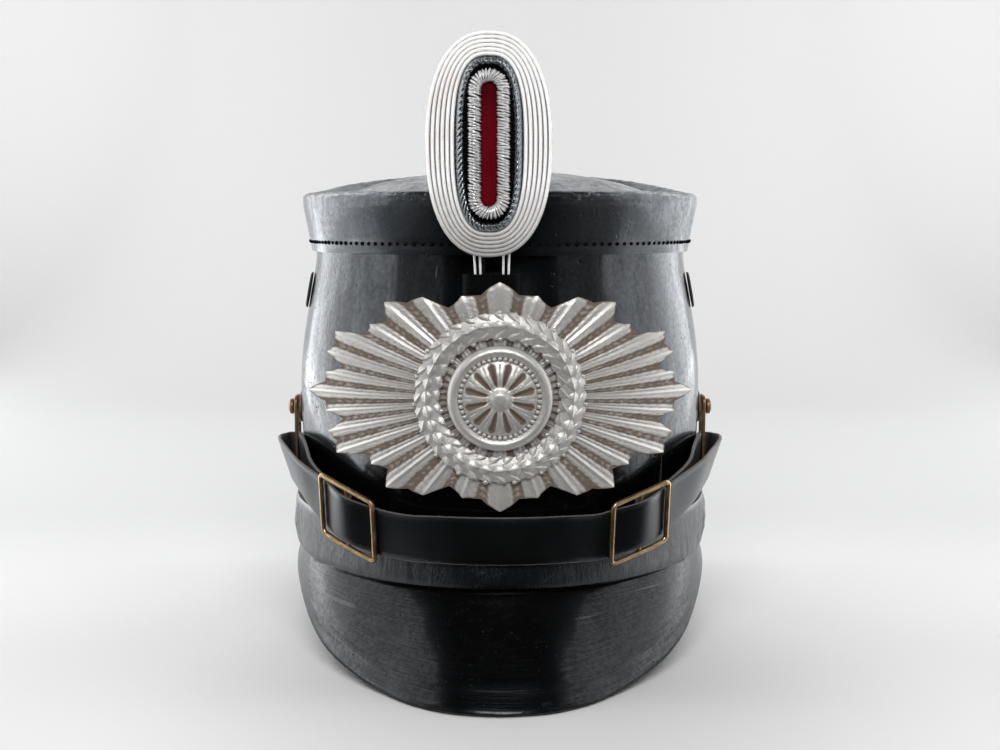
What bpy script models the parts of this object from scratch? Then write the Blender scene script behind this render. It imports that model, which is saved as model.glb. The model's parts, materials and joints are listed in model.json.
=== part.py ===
# Shako: a stiff lacquered leather cap with a barrel-shaped crown, a domed top, two peaks,
# a chin strap worn over the front peak's seam, a cast front plate and an oval cord cockade.
# Metres, +Z up, front towards -Y. It stands on the lower edges of its two peaks.

import math
from bisect import bisect_right
from collections import namedtuple

import bmesh
import bpy
from mathutils import Matrix, Vector

MM = 0.001
GAP = 0.3 * MM                # clearance between neighbouring pieces
MERGE = 0.01 * MM             # merge distance of modifiers and caps
SEGMENTS = 40                 # facets round the crown

# Angles round the crown are degrees from the front, growing towards +X.
# Heights are millimetres above the surface that the hat stands on.

# Crown: outer size of the leather barrel at each height
CROWN_WALL = 2.5 * MM
CrownRing = namedtuple("CrownRing", "height half_width half_length")
CROWN_RINGS = [
    CrownRing(34.0, 80.2, 96.6),      # lower rim
    CrownRing(44.0, 80.2, 96.6),      # upright up to here, so the rim's face is level
    CrownRing(58.0, 80.6, 97.0),
    CrownRing(78.0, 81.8, 98.0),
    CrownRing(100.0, 82.3, 98.4),     # fullest
    CrownRing(116.0, 81.1, 97.2),
    CrownRing(134.0, 78.3, 94.4),
    CrownRing(152.0, 75.3, 91.3),     # waist under the top's band
    CrownRing(162.0, 76.6, 92.2),
    CrownRing(172.0, 78.1, 93.4),     # upper rim, inside the top
]

# Upwards slope of the crown's upper part towards the back, where the hat is taller
BACK_SLOPE = 0.135
BACK_START = -15.0 * MM       # where the slope begins, and how far it takes to reach its full value
BACK_SOFT = 55.0 * MM
BACK_HEIGHTS = (112.0, 154.0)     # level below the first, sloping in full above the second

# Top: turned-down band, rounded edge, shallow channel and low dome
TOP_WALL = 1.5 * MM
TOP_APEX = 186.0 * MM
TopRing = namedtuple("TopRing", "half_width half_length height")
TOP_RINGS = [
    TopRing(77.1, 93.1, 153.9),       # band's lower edge
    TopRing(78.8, 94.4, 163.0),
    TopRing(80.3, 95.6, 171.0),
    TopRing(79.9, 95.2, 173.8),
    TopRing(78.5, 93.8, 175.8),       # rounded edge
    TopRing(75.6, 90.9, 176.8),
    TopRing(69.0, 84.0, 175.7),       # channel
    TopRing(60.0, 73.5, 178.0),
    TopRing(43.0, 53.0, 182.2),
    TopRing(21.0, 26.0, 185.2),
]

# Peaks: each has a strip sewn under the base band and flares to its lower edge
PEAK_WALL = 2.0 * MM
PEAK_TUCK_TOP = 46.0 * MM
SEAM_HEIGHT = 34.2 * MM
PEAK_CROWNING = 1.1 * MM      # swell of the peak half way down, outwards and upwards alike
PEAK_CROWNED_REACH = 20.0 * MM    # a peak that reaches less swells less
PEAK_ROWS = 5                 # facets from the seam to the edge
PEAK_STEP = 6.0               # degrees between its columns
PeakStation = namedtuple("PeakStation", "angle reach edge_height")
FRONT_PEAK = [
    PeakStation(0.0, 37.0, 0.0),
    PeakStation(8.0, 35.1, 0.0),
    PeakStation(15.0, 29.8, 0.1),
    PeakStation(22.0, 23.2, 0.9),
    PeakStation(30.0, 17.8, 2.8),
    PeakStation(38.0, 13.9, 5.6),
    PeakStation(46.0, 10.5, 9.2),
    PeakStation(54.0, 7.2, 13.2),
    PeakStation(62.0, 4.6, 17.2),
    PeakStation(70.0, 3.0, 21.0),
    PeakStation(80.0, 2.3, 25.5),
    PeakStation(89.5, 2.2, 29.0),
]
REAR_PEAK = [                 # angles from the back
    PeakStation(0.0, 21.0, 0.0),
    PeakStation(22.0, 20.0, 0.0),
    PeakStation(38.0, 14.5, 2.4),
    PeakStation(54.0, 8.4, 9.6),
    PeakStation(70.0, 3.6, 19.2),
    PeakStation(89.5, 2.2, 29.0),
]

# Base band: a leather strip round the crown's foot, over the peaks' sewn strips
BAND_WALL = 1.5 * MM
BAND_HEIGHTS = [35.5, 41.0, 46.5, 52.0, 55.0]
BAND_SEGMENTS = 48
BAND_LIFT = GAP + PEAK_WALL + GAP      # inner face, off the crown
EAR_BULGE = 1.3 * MM                   # wrinkled swelling over each ear
EAR_BULGE_HEIGHT = 45.0
EAR_BULGE_SPREAD = 14.0                # degrees
EAR_BULGE_TALL = 5.0                   # half its height
EAR_FOLDS = (0.35, 30.0)               # share of the bulge, and turns per degree from the ear

# Chin strap: one strip through both sliders and both side rings, ends round the sliders' bars
STRAP_WIDTH = 17.3 * MM
STRAP_WALL = 1.4 * MM
StrapStation = namedtuple("StrapStation", "angle height lift lean")    # lean is outwards at the top
STRAP_FRONT = [                        # middle line, off the crown's face
    StrapStation(0.0, 53.0, 5.2, 0.0),
    StrapStation(8.0, 53.0, 5.25, 0.5),
    StrapStation(16.0, 52.9, 5.4, 1.5),
    StrapStation(23.0, 52.8, 5.7, 3.5),
]
STRAP_SIDE = [                         # from the slider back to the ring
    StrapStation(53.0, 66.9, 10.4, 13.0),
    StrapStation(61.0, 70.6, 9.6, 17.0),
    StrapStation(70.0, 72.0, 8.5, 18.0),
    StrapStation(79.0, 71.1, 7.1, 15.0),
    StrapStation(86.6, 69.4, 6.3, 10.0),
]
STRAP_RETURN = [                       # from the ring forward to the slider, next to the crown
    StrapStation(86.6, 69.4, 1.15, 3.0),
    StrapStation(79.0, 70.8, 1.15, 3.0),
    StrapStation(70.0, 71.8, 1.5, 4.0),
    StrapStation(61.0, 70.4, 3.2, 8.0),
    StrapStation(53.0, 66.4, 6.0, 11.0),
]
STRAP_STEPS = 3                        # sections between the path's own points
HOOK_TURNS = (30.0, 60.0, 90.0)        # degrees round the slider's middle bar
FOLD_FACETS = 6

# Sliders: rectangular brass wire frames with a middle bar
SLIDER_WIRE = 1.0 * MM                 # radius
SLIDER_BAR = 0.8 * MM                  # radius of the middle bar
SLIDER_SLACK = 2.6 * MM                # the window is this much taller than the strap
SLIDER_HEIGHT = STRAP_WIDTH + SLIDER_SLACK + 2 * SLIDER_WIRE
SLIDER_CORNER = 1.6 * MM
SLIDER_BARS = {                        # stations of the inner and outer bars on each side
    -1: (StrapStation(30.3, 53.9, 9.0, 1.0), StrapStation(44.6, 62.0, 12.0, 5.0)),
    1: (StrapStation(26.4, 53.7, 9.0, 1.0), StrapStation(40.8, 60.2, 12.0, 5.0)),
}
SLIDER_BAR_AT = 0.5                    # middle bar, from the inner bar to the outer one
UNDER_WIRE = SLIDER_WIRE + GAP + STRAP_WALL / 2       # strap's middle to a bar's
ROUND_BAR = SLIDER_BAR + GAP + STRAP_WALL / 2

# Side fittings: a stud on each side carries a flat brass ring with an eye and a slot
POST_HEIGHT = 88.6 * MM
POST_FLANGE = (6.5 * MM, 0.6 * MM)     # radius, thickness
POST_NECK = (2.1 * MM, 2.9 * MM)       # radius, length
POST_HEAD = (3.2 * MM, 2.2 * MM)
POST_SHIFT = -2.0 * MM                 # the stud sits just ahead of the ear
RING_SIZE = (12.0 * MM, 35.2 * MM)
RING_EDGE = 2.3 * MM
RING_PLATE = 1.2 * MM
RING_SLOT_HEIGHT = 21.2 * MM
RING_CORNERS = (3.0 * MM, 2.0 * MM, 1.0 * MM)    # of its outline, its eye and its slot
RING_TILT = 0.4                        # degrees, its foot stands off the crown
TURNED_STEPS = 16                      # round a stud or a vent

# Front plate, bent to a wider curve than the crown
PLATE_BEND = 110.0 * MM
PLATE_FACE = -100.9 * MM               # its middle, before the relief
PLATE_HEIGHT = 104.2 * MM
PLATE_HALF = (76.5 * MM, 40.6 * MM)    # along the bend, and up
PLATE_WALL = 1.2 * MM
RAY_COUNT = 32
RAY_RIDGE = 1.0 * MM
RAY_POINTS = 12                        # bundles of rays that reach further
RAY_NOTCH = 0.12                       # how far the shorter rays fall back
RAY_VALLEY = 0.07                      # and the valleys between rays
RAY_RADII = [0.16, 0.45, 0.78, 1.0]
PLATE_POST = 1.5 * MM                  # radius of its fixing posts
PLATE_POST_AT = 30.0 * MM

WREATH_RADIUS = 25.5 * MM
WREATH_HALF_WIDTH = 5.2 * MM
WREATH_RISE = 3.0 * MM
WREATH_LEAVES = 18
WREATH_FACETS = 54
WREATH_NECK = (0.72, 0.65)             # width and rise between leaves, of those at a leaf
# Shares of the half width and of the rise
WREATH_SECTION = [(1.0, 0.0), (1.0, 0.3), (0.45, 0.85), (0.0, 1.0), (-0.45, 0.85), (-1.0, 0.3),
                  (-1.0, 0.0)]

BOSS_RADIUS = 18.6 * MM
BOSS_STEPS = 28
# Share of the radius, and height in millimetres
BOSS_PROFILE = [(1.0, 0.0), (1.0, 1.8), (0.93, 2.7), (0.86, 2.2), (0.78, 2.6), (0.5, 4.2), (0.24, 5.0),
                (0.0, 5.2)]

# Cockade: superellipses about its middle, listed from the outside in
COCKADE_CENTRE = Vector((-3.8 * MM, -99.3 * MM, 192.3 * MM))     # middle of its back
COCKADE_BACKING = 1.6 * MM
COCKADE_BOW = 1.6 * MM                 # its ends lean back
COCKADE_FACETS = 36
Oval = namedtuple("Oval", "half_width half_height power")
CORDS_OUTER = Oval(21.6, 38.3, 2.35)
CORDS_INNER = Oval(12.1, 30.4, 3.0)
CORD_ROWS = 5
CORD_RISE = 3.1 * MM
BLACK_CORD = Oval(9.75, 28.1, 3.0)
BLACK_CORD_RADIUS = 1.95 * MM
BULLION = Oval(5.05, 23.45, 3.2)
BULLION_RADIUS = 2.3 * MM
VELVET = Oval(2.35, 20.7, 3.4)
VELVET_RISE = 1.6 * MM

# Hairpin wires that carry the cockade, and the leather sleeve that takes them
PRONG_RADIUS = 0.5 * MM
PRONG_PLACES = [("left", -7.9), ("right", 2.2)]
PRONG_HALF_SPREAD = 0.85 * MM
PRONG_TOP = 166.0 * MM
PRONG_FOOT = 141.0 * MM
PRONG_Y = -96.75 * MM
SLEEVE_WALL = 1.0 * MM
SLEEVE_HALF_WIDTH = 9.6 * MM
SLEEVE_CENTRE_X = -2.9 * MM
SLEEVE_FRONT_Y = -98.5 * MM
SLEEVE_HEIGHTS = (139.5 * MM, 150.5 * MM)

# Side vents: a pierced disc in a rolled rim
VENT_HEIGHT = 138.0 * MM
VENT_ANGLE = 80.0
VENT_RADIUS = 7.2 * MM
# Share of the radius, and height in millimetres
VENT_PROFILE = [(1.0, 0.0), (1.0, 1.0), (0.9, 1.7), (0.76, 1.5), (0.7, 1.0), (0.0, 1.2)]
VENT_HOLES = 5
VENT_HOLE_RADIUS = 0.8 * MM
VENT_HOLE_RING = 0.4                   # of the vent's radius
VENT_DRILL_DEPTH = 6.0 * MM

BLACK_LACQUER = ("black_lacquer", (0.012, 0.012, 0.013), 0.22, 0.0)
BLACK_LEATHER = ("black_leather", (0.02, 0.02, 0.021), 0.5, 0.0)
BRASS = ("brass", (0.52, 0.36, 0.16), 0.35, 1.0)
WHITE_METAL = ("white_metal", (0.5, 0.47, 0.43), 0.45, 1.0)
SILVER_CORD = ("silver_cord", (0.72, 0.72, 0.72), 0.5, 0.4)
BLACK_CORD_SILK = ("black_cord", (0.015, 0.015, 0.016), 0.4, 0.0)
RED_VELVET = ("red_velvet", (0.19, 0.012, 0.02), 0.9, 0.0)
STEEL = ("steel_wire", (0.55, 0.55, 0.55), 0.3, 1.0)


def clear_scene():
    for obj in list(bpy.data.objects):
        bpy.data.objects.remove(obj, do_unlink=True)


def collection(name):
    made = bpy.data.collections.new(name)
    bpy.context.scene.collection.children.link(made)
    return made


def material(finish):
    name, colour, roughness, metallic = finish
    found = bpy.data.materials.get(name)
    if found:
        return found
    made = bpy.data.materials.new(name)
    made.use_nodes = True
    shader = made.node_tree.nodes["Principled BSDF"]
    shader.inputs["Base Color"].default_value = (*colour, 1.0)
    shader.inputs["Roughness"].default_value = roughness
    shader.inputs["Metallic"].default_value = metallic
    return made


def add_object(name, data, finish=None, smooth=True):
    obj = bpy.data.objects.new(name, data)
    if finish:
        data.materials.append(material(finish))
        parts.objects.link(obj)
        obj.parent = root
    else:
        cutters.objects.link(obj)
        obj.parent = root
        obj.hide_render = True
        obj.display_type = "WIRE"
    if smooth and isinstance(data, bpy.types.Mesh):
        data.shade_smooth()
        data.set_sharp_from_angle(angle=math.radians(40))
    return obj


def read(rows, column, at):
    """A table's column at a place in its first column, on a smooth curve through the rows."""
    places = [row[0] for row in rows]
    values = [getattr(row, column) for row in rows]
    at = min(max(at, places[0]), places[-1])
    i = min(bisect_right(places, at) - 1, len(rows) - 2)

    def slope(k):
        a, b = max(k - 1, 0), min(k + 1, len(rows) - 1)
        return (values[b] - values[a]) / (places[b] - places[a])

    span = places[i + 1] - places[i]
    t = (at - places[i]) / span
    hermite = (2 * t**3 - 3 * t**2 + 1, t**3 - 2 * t**2 + t, -2 * t**3 + 3 * t**2, t**3 - t**2)
    return (hermite[0] * values[i] + hermite[1] * span * slope(i)
            + hermite[2] * values[i + 1] + hermite[3] * span * slope(i + 1))


def oval_point(half_width, half_length, angle, offset=0.0):
    """A point of a level oval, moved outwards along the oval's own normal."""
    turn = math.radians(angle)
    across, along = math.sin(turn), -math.cos(turn)
    normal = Vector((across / half_width, along / half_length, 0.0)).normalized()
    return Vector((half_width * across, half_length * along, 0.0)) + offset * normal, normal


def skin(angle, height, lift=0.0):
    """A point off the crown's outer face, and the level normal there. Height is in metres."""
    half_width = read(CROWN_RINGS, "half_width", height / MM) * MM
    half_length = read(CROWN_RINGS, "half_length", height / MM) * MM
    point, normal = oval_point(half_width, half_length, angle, lift)
    point.z = height
    return point, normal


def loft(name, rows, finish=None, closed=True, poles=(), smooth=True):
    """A mesh through rows of points; a pole closes the first or last row to one point."""
    mesh = bpy.data.meshes.new(name)
    bm = bmesh.new()
    verts = [[bm.verts.new(p) for p in row] for row in rows]
    count = len(rows[0])
    spans = count if closed else count - 1
    for lower, upper in zip(verts, verts[1:]):
        for i in range(spans):
            j = (i + 1) % count
            bm.faces.new((lower[i], lower[j], upper[j], upper[i]))
    for end, pole in poles:
        tip = bm.verts.new(pole)
        row = verts[end]
        for i in range(spans):
            j = (i + 1) % count
            bm.faces.new((row[j], row[i], tip) if end == 0 else (row[i], row[j], tip))
    bm.to_mesh(mesh)
    bm.free()
    return add_object(name, mesh, finish, smooth)


def tube_loop(name, sections, finish):
    """A closed ring through closed sections."""
    return loft(name, sections + sections[:1], finish)


def weld(obj):
    """Merges the doubled points of a mesh object and turns its faces outwards."""
    bm = bmesh.new()
    bm.from_mesh(obj.data)
    bmesh.ops.remove_doubles(bm, verts=bm.verts, dist=MERGE)
    bmesh.ops.recalc_face_normals(bm, faces=bm.faces)
    bm.to_mesh(obj.data)
    bm.free()


def thicken(obj, thickness, offset):
    wall = obj.modifiers.new("Wall", "SOLIDIFY")
    wall.thickness = thickness
    wall.offset = offset
    wall.use_even_offset = True
    return wall


def boolean(obj, other, operation):
    cut = obj.modifiers.new(operation.title(), "BOOLEAN")
    cut.operation = operation
    cut.object = other
    cut.solver = "EXACT"


def turned(name, profile, segments, finish=None):
    """A solid of revolution about Z from (radius, height) points, outer foot to top centre."""
    mesh = bpy.data.meshes.new(name)
    outline = [Vector((0.0, 0.0, 0.0))] + [Vector((r, 0.0, h)) for r, h in profile]
    outline.reverse()
    mesh.from_pydata(outline, [(i, i + 1) for i in range(len(outline) - 1)], [])
    obj = add_object(name, mesh, finish, smooth=False)
    spin = obj.modifiers.new("Screw", "SCREW")
    spin.steps = segments
    spin.render_steps = segments
    spin.use_merge_vertices = True
    spin.merge_threshold = MERGE
    spin.use_smooth_shade = False
    return obj


def wire(name, points, radius, finish=None, cyclic=False, resolution=2):
    """A round wire along a list of points."""
    curve = bpy.data.curves.new(name, "CURVE")
    curve.dimensions = "3D"
    curve.bevel_depth = radius
    curve.bevel_resolution = resolution
    curve.use_fill_caps = True
    spline = curve.splines.new("POLY")
    spline.points.add(len(points) - 1)
    for place, point in zip(spline.points, points):
        place.co = (*point, 1.0)
    spline.use_cyclic_u = cyclic
    return add_object(name, curve, finish)


def as_mesh(obj):
    """Turns a curve object into a closed mesh object of the same name and place."""
    name, curve = obj.name, obj.data
    bpy.context.view_layer.update()
    evaluated = obj.evaluated_get(bpy.context.evaluated_depsgraph_get())
    mesh = bpy.data.meshes.new_from_object(evaluated)
    made = bpy.data.objects.new(name, mesh)
    for owner in obj.users_collection:
        owner.objects.link(made)
    made.parent = obj.parent
    made.matrix_local = obj.matrix_local
    made.hide_render = obj.hide_render
    made.display_type = obj.display_type
    bpy.data.objects.remove(obj, do_unlink=True)
    bpy.data.curves.remove(curve)
    made.name = name
    weld(made)
    return made


def ring_angles(count):
    return [360.0 * i / count for i in range(count)]


def raised_back(point):
    """The point, higher where the crown's upper part slopes upwards towards the back."""
    low, high = BACK_HEIGHTS
    share = min(max((point.z / MM - low) / (high - low), 0.0), 1.0)
    behind = max(point.y - BACK_START, 0.0)
    if behind < BACK_SOFT:
        rise = BACK_SLOPE * behind ** 2 / (2.0 * BACK_SOFT)
    else:
        rise = BACK_SLOPE * (behind - BACK_SOFT / 2.0)
    return point + Vector((0.0, 0.0, rise * share * share * (3.0 - 2.0 * share)))


def crown_body():
    rows = []
    for ring in CROWN_RINGS:
        rows.append([raised_back(skin(angle, ring.height * MM)[0])
                     for angle in ring_angles(SEGMENTS)])
    thicken(loft("crown_body", rows, BLACK_LACQUER), CROWN_WALL, -1.0)


def crown_top():
    rows = []
    for ring in TOP_RINGS:
        row = [oval_point(ring.half_width * MM, ring.half_length * MM, angle)[0]
               for angle in ring_angles(SEGMENTS)]
        for point in row:
            point.z = ring.height * MM
        rows.append([raised_back(point) for point in row])
    apex = raised_back(Vector((0.0, 0.0, TOP_APEX)))
    thicken(loft("crown_top", rows, BLACK_LACQUER, poles=[(-1, apex)]), TOP_WALL, -1.0)


def ear_bulge(angle, height):
    """Swelling of the base band over the ears, with its small folds."""
    from_ear = abs(abs((angle + 180.0) % 360.0 - 180.0) - 90.0)
    nearness = math.exp(-(from_ear / EAR_BULGE_SPREAD) ** 2)
    tallness = math.exp(-((height - EAR_BULGE_HEIGHT) / EAR_BULGE_TALL) ** 2)
    share, rate = EAR_FOLDS
    return EAR_BULGE * nearness * tallness * (1.0 + share * math.cos(math.radians(rate * from_ear)))


def base_band():
    rows = []
    for height in BAND_HEIGHTS:
        rows.append([skin(angle, height * MM, BAND_LIFT + ear_bulge(angle, height))[0]
                     for angle in ring_angles(BAND_SEGMENTS)])
    thicken(loft("base_band", rows, BLACK_LEATHER), BAND_WALL, 1.0)


def peak(name, stations, facing):
    """A peak from its sewn strip to its edge; facing is 0 for the front, 180 for the back."""
    last = stations[-1].angle
    count = 2 * int(last / PEAK_STEP)
    columns = []
    for i in range(count + 1):
        angle = last * (2.0 * i / count - 1.0)
        reach = read(stations, "reach", abs(angle)) * MM
        edge_height = max(read(stations, "edge_height", abs(angle)), 0.0) * MM
        seam, normal = skin(angle + facing, SEAM_HEIGHT, GAP)
        column = [skin(angle + facing, PEAK_TUCK_TOP, GAP)[0]]
        for row in range(PEAK_ROWS + 1):
            down = row / PEAK_ROWS
            swell = PEAK_CROWNING * math.sin(math.pi * down) * min(reach / PEAK_CROWNED_REACH, 1.0)
            point = seam + normal * (reach * down + swell)
            point.z = SEAM_HEIGHT + (edge_height - SEAM_HEIGHT) * down + swell
            column.append(point)
        columns.append(column)
    rows = [list(row) for row in zip(*columns)]
    rows.reverse()
    thicken(loft(name, rows, BLACK_LACQUER, closed=False), PEAK_WALL, 1.0)


def strap_frame(station, side):
    """Middle, run, width and outward directions of the strap at a station."""
    point, normal = skin(station.angle, station.height * MM, station.lift * MM)
    level = Vector((-normal.y, normal.x, 0.0))
    lean = math.radians(station.lean)
    up = Vector((0.0, 0.0, math.cos(lean))) + normal * math.sin(lean)
    flip = Vector((side, 1.0, 1.0))
    return [vector * flip for vector in (point, level, up)]


def slider_axes(side):
    """A slider's inner bar, its directions along the strap, up and outwards, and its length."""
    inner, outer = (strap_frame(station, side) for station in SLIDER_BARS[side])
    along = outer[0] - inner[0]
    length = along.length
    along.normalize()
    up = inner[2] + outer[2]
    up.normalize()
    outward = along.cross(up).normalized() * side
    return inner[0], along, up, outward, length


def fold(outer, inner, side):
    """Half turn between the ends of two layers, bulging on past them."""
    middle = (outer[0] + inner[0]) / 2
    arm = (outer[0] - inner[0]) / 2
    onward = Vector((0.0, 0.0, side)).cross(arm).normalized() * arm.length
    turn = []
    for i in range(1, FOLD_FACETS):
        swing = math.pi * i / FOLD_FACETS
        up = outer[1].lerp(inner[1], i / FOLD_FACETS).normalized()
        turn.append((middle + arm * math.cos(swing) + onward * math.sin(swing), up))
    return turn


def through(frames, steps):
    """More (point, up) pairs on a smooth curve through the given ones."""
    made = []
    for k in range(len(frames) - 1):
        around = [frames[min(max(k + o, 0), len(frames) - 1)] for o in (-1, 0, 1, 2)]
        for i in range(steps):
            t = i / steps
            weights = (-0.5 * t + t * t - 0.5 * t**3, 1 - 2.5 * t * t + 1.5 * t**3,
                       0.5 * t + 2 * t * t - 1.5 * t**3, -0.5 * t * t + 0.5 * t**3)
            point, up = (sum((w * f[n] for w, f in zip(weights, around)), Vector()) for n in (0, 1))
            made.append((point, up.normalized()))
    return made + frames[-1:]


def half_strap(side):
    """Sections of the strap from the front's middle to its end round the slider's middle bar."""
    def frames(stations):
        return [(point, up) for point, _, up in (strap_frame(station, side) for station in stations)]

    start, along, up, outward, length = slider_axes(side)
    bar, end = start + along * length * SLIDER_BAR_AT, start + along * length
    woven = [(start - outward * UNDER_WIRE, up), (bar + outward * ROUND_BAR, up),
             (end - outward * UNDER_WIRE, up)]
    beneath = [(end - outward * (UNDER_WIRE + STRAP_WALL + GAP), up), (bar - outward * ROUND_BAR, up)]
    hook = []
    for swing in HOOK_TURNS:
        turn = math.radians(swing)
        reach = outward * math.cos(turn) + along * math.sin(turn)
        hook.append((bar - reach * ROUND_BAR, up))
    outer = frames(STRAP_FRONT) + woven + frames(STRAP_SIDE)
    inner = frames(STRAP_RETURN) + beneath
    bend = fold(outer[-1], inner[0], side)
    return through(outer, STRAP_STEPS) + bend + through(inner, STRAP_STEPS) + hook


def chin_strap():
    sections = half_strap(-1)[:0:-1] + half_strap(1)
    rows = [[point + up * (edge * STRAP_WIDTH / 2) for point, up in sections] for edge in (-1, 1)]
    thicken(loft("chin_strap", rows, BLACK_LEATHER, closed=False), STRAP_WALL, 0.0)


def rounded_rectangle(width, height, corner, facets=3):
    """Corners of a rounded rectangle about the origin, anticlockwise."""
    points = []
    for quarter, (sx, sy) in enumerate([(1, 1), (-1, 1), (-1, -1), (1, -1)]):
        centre = Vector((sx * (width / 2 - corner), sy * (height / 2 - corner)))
        for i in range(facets + 1):
            turn = math.radians(90.0 * (quarter + i / facets))
            points.append(centre + corner * Vector((math.cos(turn), math.sin(turn))))
    return points


def slider(name, side):
    start, along, up, outward, length = slider_axes(side)
    middle = start + along * length / 2
    outline = rounded_rectangle(length, SLIDER_HEIGHT, SLIDER_CORNER)
    path = [middle + along * p.x + up * p.y for p in outline]
    frame = as_mesh(wire(name, path, SLIDER_WIRE, BRASS, cyclic=True))
    at_bar = start + along * length * SLIDER_BAR_AT
    half = up * SLIDER_HEIGHT / 2
    bar = as_mesh(wire(name + "_bar", [at_bar - half, at_bar + half], SLIDER_BAR))
    boolean(frame, bar, "UNION")


def side_fitting(word, side):
    """The stud on the crown and the flat ring that hangs on it."""
    surface, _ = skin(90.0, POST_HEIGHT, GAP)
    flange, neck, head = POST_FLANGE, POST_NECK, POST_HEAD
    neck_end = flange[1] + neck[1]
    stud = turned(f"side_post_{word}", [
        (flange[0], 0.0), (flange[0], flange[1]), (neck[0], flange[1] + GAP), (neck[0], neck_end),
        (head[0], neck_end + GAP), (head[0], neck_end + 0.7 * head[1]),
        (0.6 * head[0], neck_end + head[1]), (0.0, neck_end + head[1])], TURNED_STEPS, BRASS)
    stud.location = (side * surface.x, POST_SHIFT, POST_HEIGHT)
    stud.rotation_euler = (0.0, side * math.radians(90.0), 0.0)

    eye_height = RING_SIZE[1] - RING_SLOT_HEIGHT - 3 * RING_EDGE
    window_width = RING_SIZE[0] - 2 * RING_EDGE
    eye_middle = RING_SIZE[1] / 2 - RING_EDGE - eye_height / 2
    slot_middle = -RING_SIZE[1] / 2 + RING_EDGE + RING_SLOT_HEIGHT / 2
    curve = bpy.data.curves.new(f"strap_ring_{word}", "CURVE")
    curve.dimensions = "2D"
    curve.fill_mode = "BOTH"
    curve.extrude = RING_PLATE / 2
    for width, height, middle, corner in [(*RING_SIZE, 0.0, RING_CORNERS[0]),
                                          (window_width, eye_height, eye_middle, RING_CORNERS[1]),
                                          (window_width, RING_SLOT_HEIGHT, slot_middle, RING_CORNERS[2])]:
        outline = rounded_rectangle(width, height, corner)
        spline = curve.splines.new("POLY")
        spline.points.add(len(outline) - 1)
        for place, point in zip(spline.points, outline):
            place.co = (point.x, point.y + middle, 0.0, 1.0)
        spline.use_cyclic_u = True
    ring = add_object(f"strap_ring_{word}", curve, BRASS)
    hang = POST_HEIGHT + POST_NECK[0] + GAP - (eye_middle + eye_height / 2)
    lift = flange[1] + neck[1] / 2
    tilt = math.radians(RING_TILT)
    outwards = surface.x + lift + math.tan(tilt) * (POST_HEIGHT - hang)
    upright = Matrix.Rotation(math.radians(90.0), 4, "Z") @ Matrix.Rotation(math.radians(90.0), 4, "X")
    place = Matrix.Translation((side * outwards, POST_SHIFT, hang))
    ring.matrix_local = place @ Matrix.Rotation(side * tilt, 4, "Y") @ upright
    as_mesh(ring)


def plate_point(along, up, out):
    """A point of the front plate: along its bend, up, and out from its face."""
    turn = along / PLATE_BEND
    radius = PLATE_BEND + out
    y = PLATE_FACE + PLATE_BEND - radius * math.cos(turn)
    return Vector((radius * math.sin(turn), y, PLATE_HEIGHT + up))


def plate_rays():
    count = 2 * RAY_COUNT
    rows = []
    for fraction in reversed(RAY_RADII):
        row = []
        for i in range(count):
            turn = 2.0 * math.pi * i / count
            valley = i % 2
            bundle = 0.5 + 0.5 * math.cos(RAY_POINTS * turn)
            cut = (1.0 - bundle) * RAY_NOTCH + valley * RAY_VALLEY
            reach = fraction * (1.0 - cut * fraction)
            ridge = 0.0 if valley else RAY_RIDGE * min(1.0, 2.0 * fraction)
            along = PLATE_HALF[0] * reach * math.sin(turn)
            up = PLATE_HALF[1] * reach * math.cos(turn)
            row.append(plate_point(along, up, ridge))
        rows.append(row[::-1])
    middle = plate_point(0.0, 0.0, 0.0)
    plate = loft("plate_rays", rows, WHITE_METAL, poles=[(-1, middle)], smooth=False)
    thicken(plate, PLATE_WALL, -1.0)
    for word, x in (("left", -PLATE_POST_AT), ("right", PLATE_POST_AT)):
        start = plate_point(x, 0.0, -PLATE_WALL / 2)
        seat = Vector((start.x, crown_y(PLATE_POST_AT - PLATE_POST, PLATE_HEIGHT) - GAP, PLATE_HEIGHT))
        post = as_mesh(wire(f"plate_post_{word}", [start, seat], PLATE_POST))
        boolean(plate, post, "UNION")


def crown_y(x, height):
    """The crown's front face at a sideways place."""
    half_width = read(CROWN_RINGS, "half_width", height / MM) * MM
    half_length = read(CROWN_RINGS, "half_length", height / MM) * MM
    return -half_length * math.sqrt(1.0 - (x / half_width) ** 2)


def plate_wreath():
    seat = RAY_RIDGE + GAP
    sections = []
    for i in range(WREATH_FACETS):
        turn = 2.0 * math.pi * i / WREATH_FACETS
        leaf = abs((WREATH_LEAVES * i / WREATH_FACETS) % 1.0 - 0.5) * 2.0
        half_width, rise = (size * (neck + (1.0 - neck) * leaf) for size, neck
                            in zip((WREATH_HALF_WIDTH, WREATH_RISE), WREATH_NECK))
        section = []
        for across, out in WREATH_SECTION:
            radius = WREATH_RADIUS + across * half_width
            along, up = radius * math.sin(turn), radius * math.cos(turn)
            section.append(plate_point(along, up, seat + out * rise))
        sections.append(section)
    tube_loop("plate_wreath", sections, WHITE_METAL)


def plate_boss():
    profile = [(share * BOSS_RADIUS, out * MM) for share, out in BOSS_PROFILE]
    boss = turned("plate_boss", profile, BOSS_STEPS, WHITE_METAL)
    boss.location = (0.0, PLATE_FACE - RAY_RIDGE - GAP, PLATE_HEIGHT)
    boss.rotation_euler = (math.radians(90.0), 0.0, 0.0)


def cockade_point(oval, turn, inset, rise):
    """A point over the cockade's back: on an oval drawn in by an inset, and raised."""
    across, up = math.sin(turn), math.cos(turn)
    share = (abs(across) ** oval.power + abs(up) ** oval.power) ** (-1.0 / oval.power)
    half_width, half_height = oval.half_width * MM - inset, oval.half_height * MM - inset
    x, z = half_width * across * share, half_height * up * share
    lean = COCKADE_BOW * (z / (CORDS_OUTER.half_height * MM)) ** 2
    return COCKADE_CENTRE + Vector((x, lean - rise, z))


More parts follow.
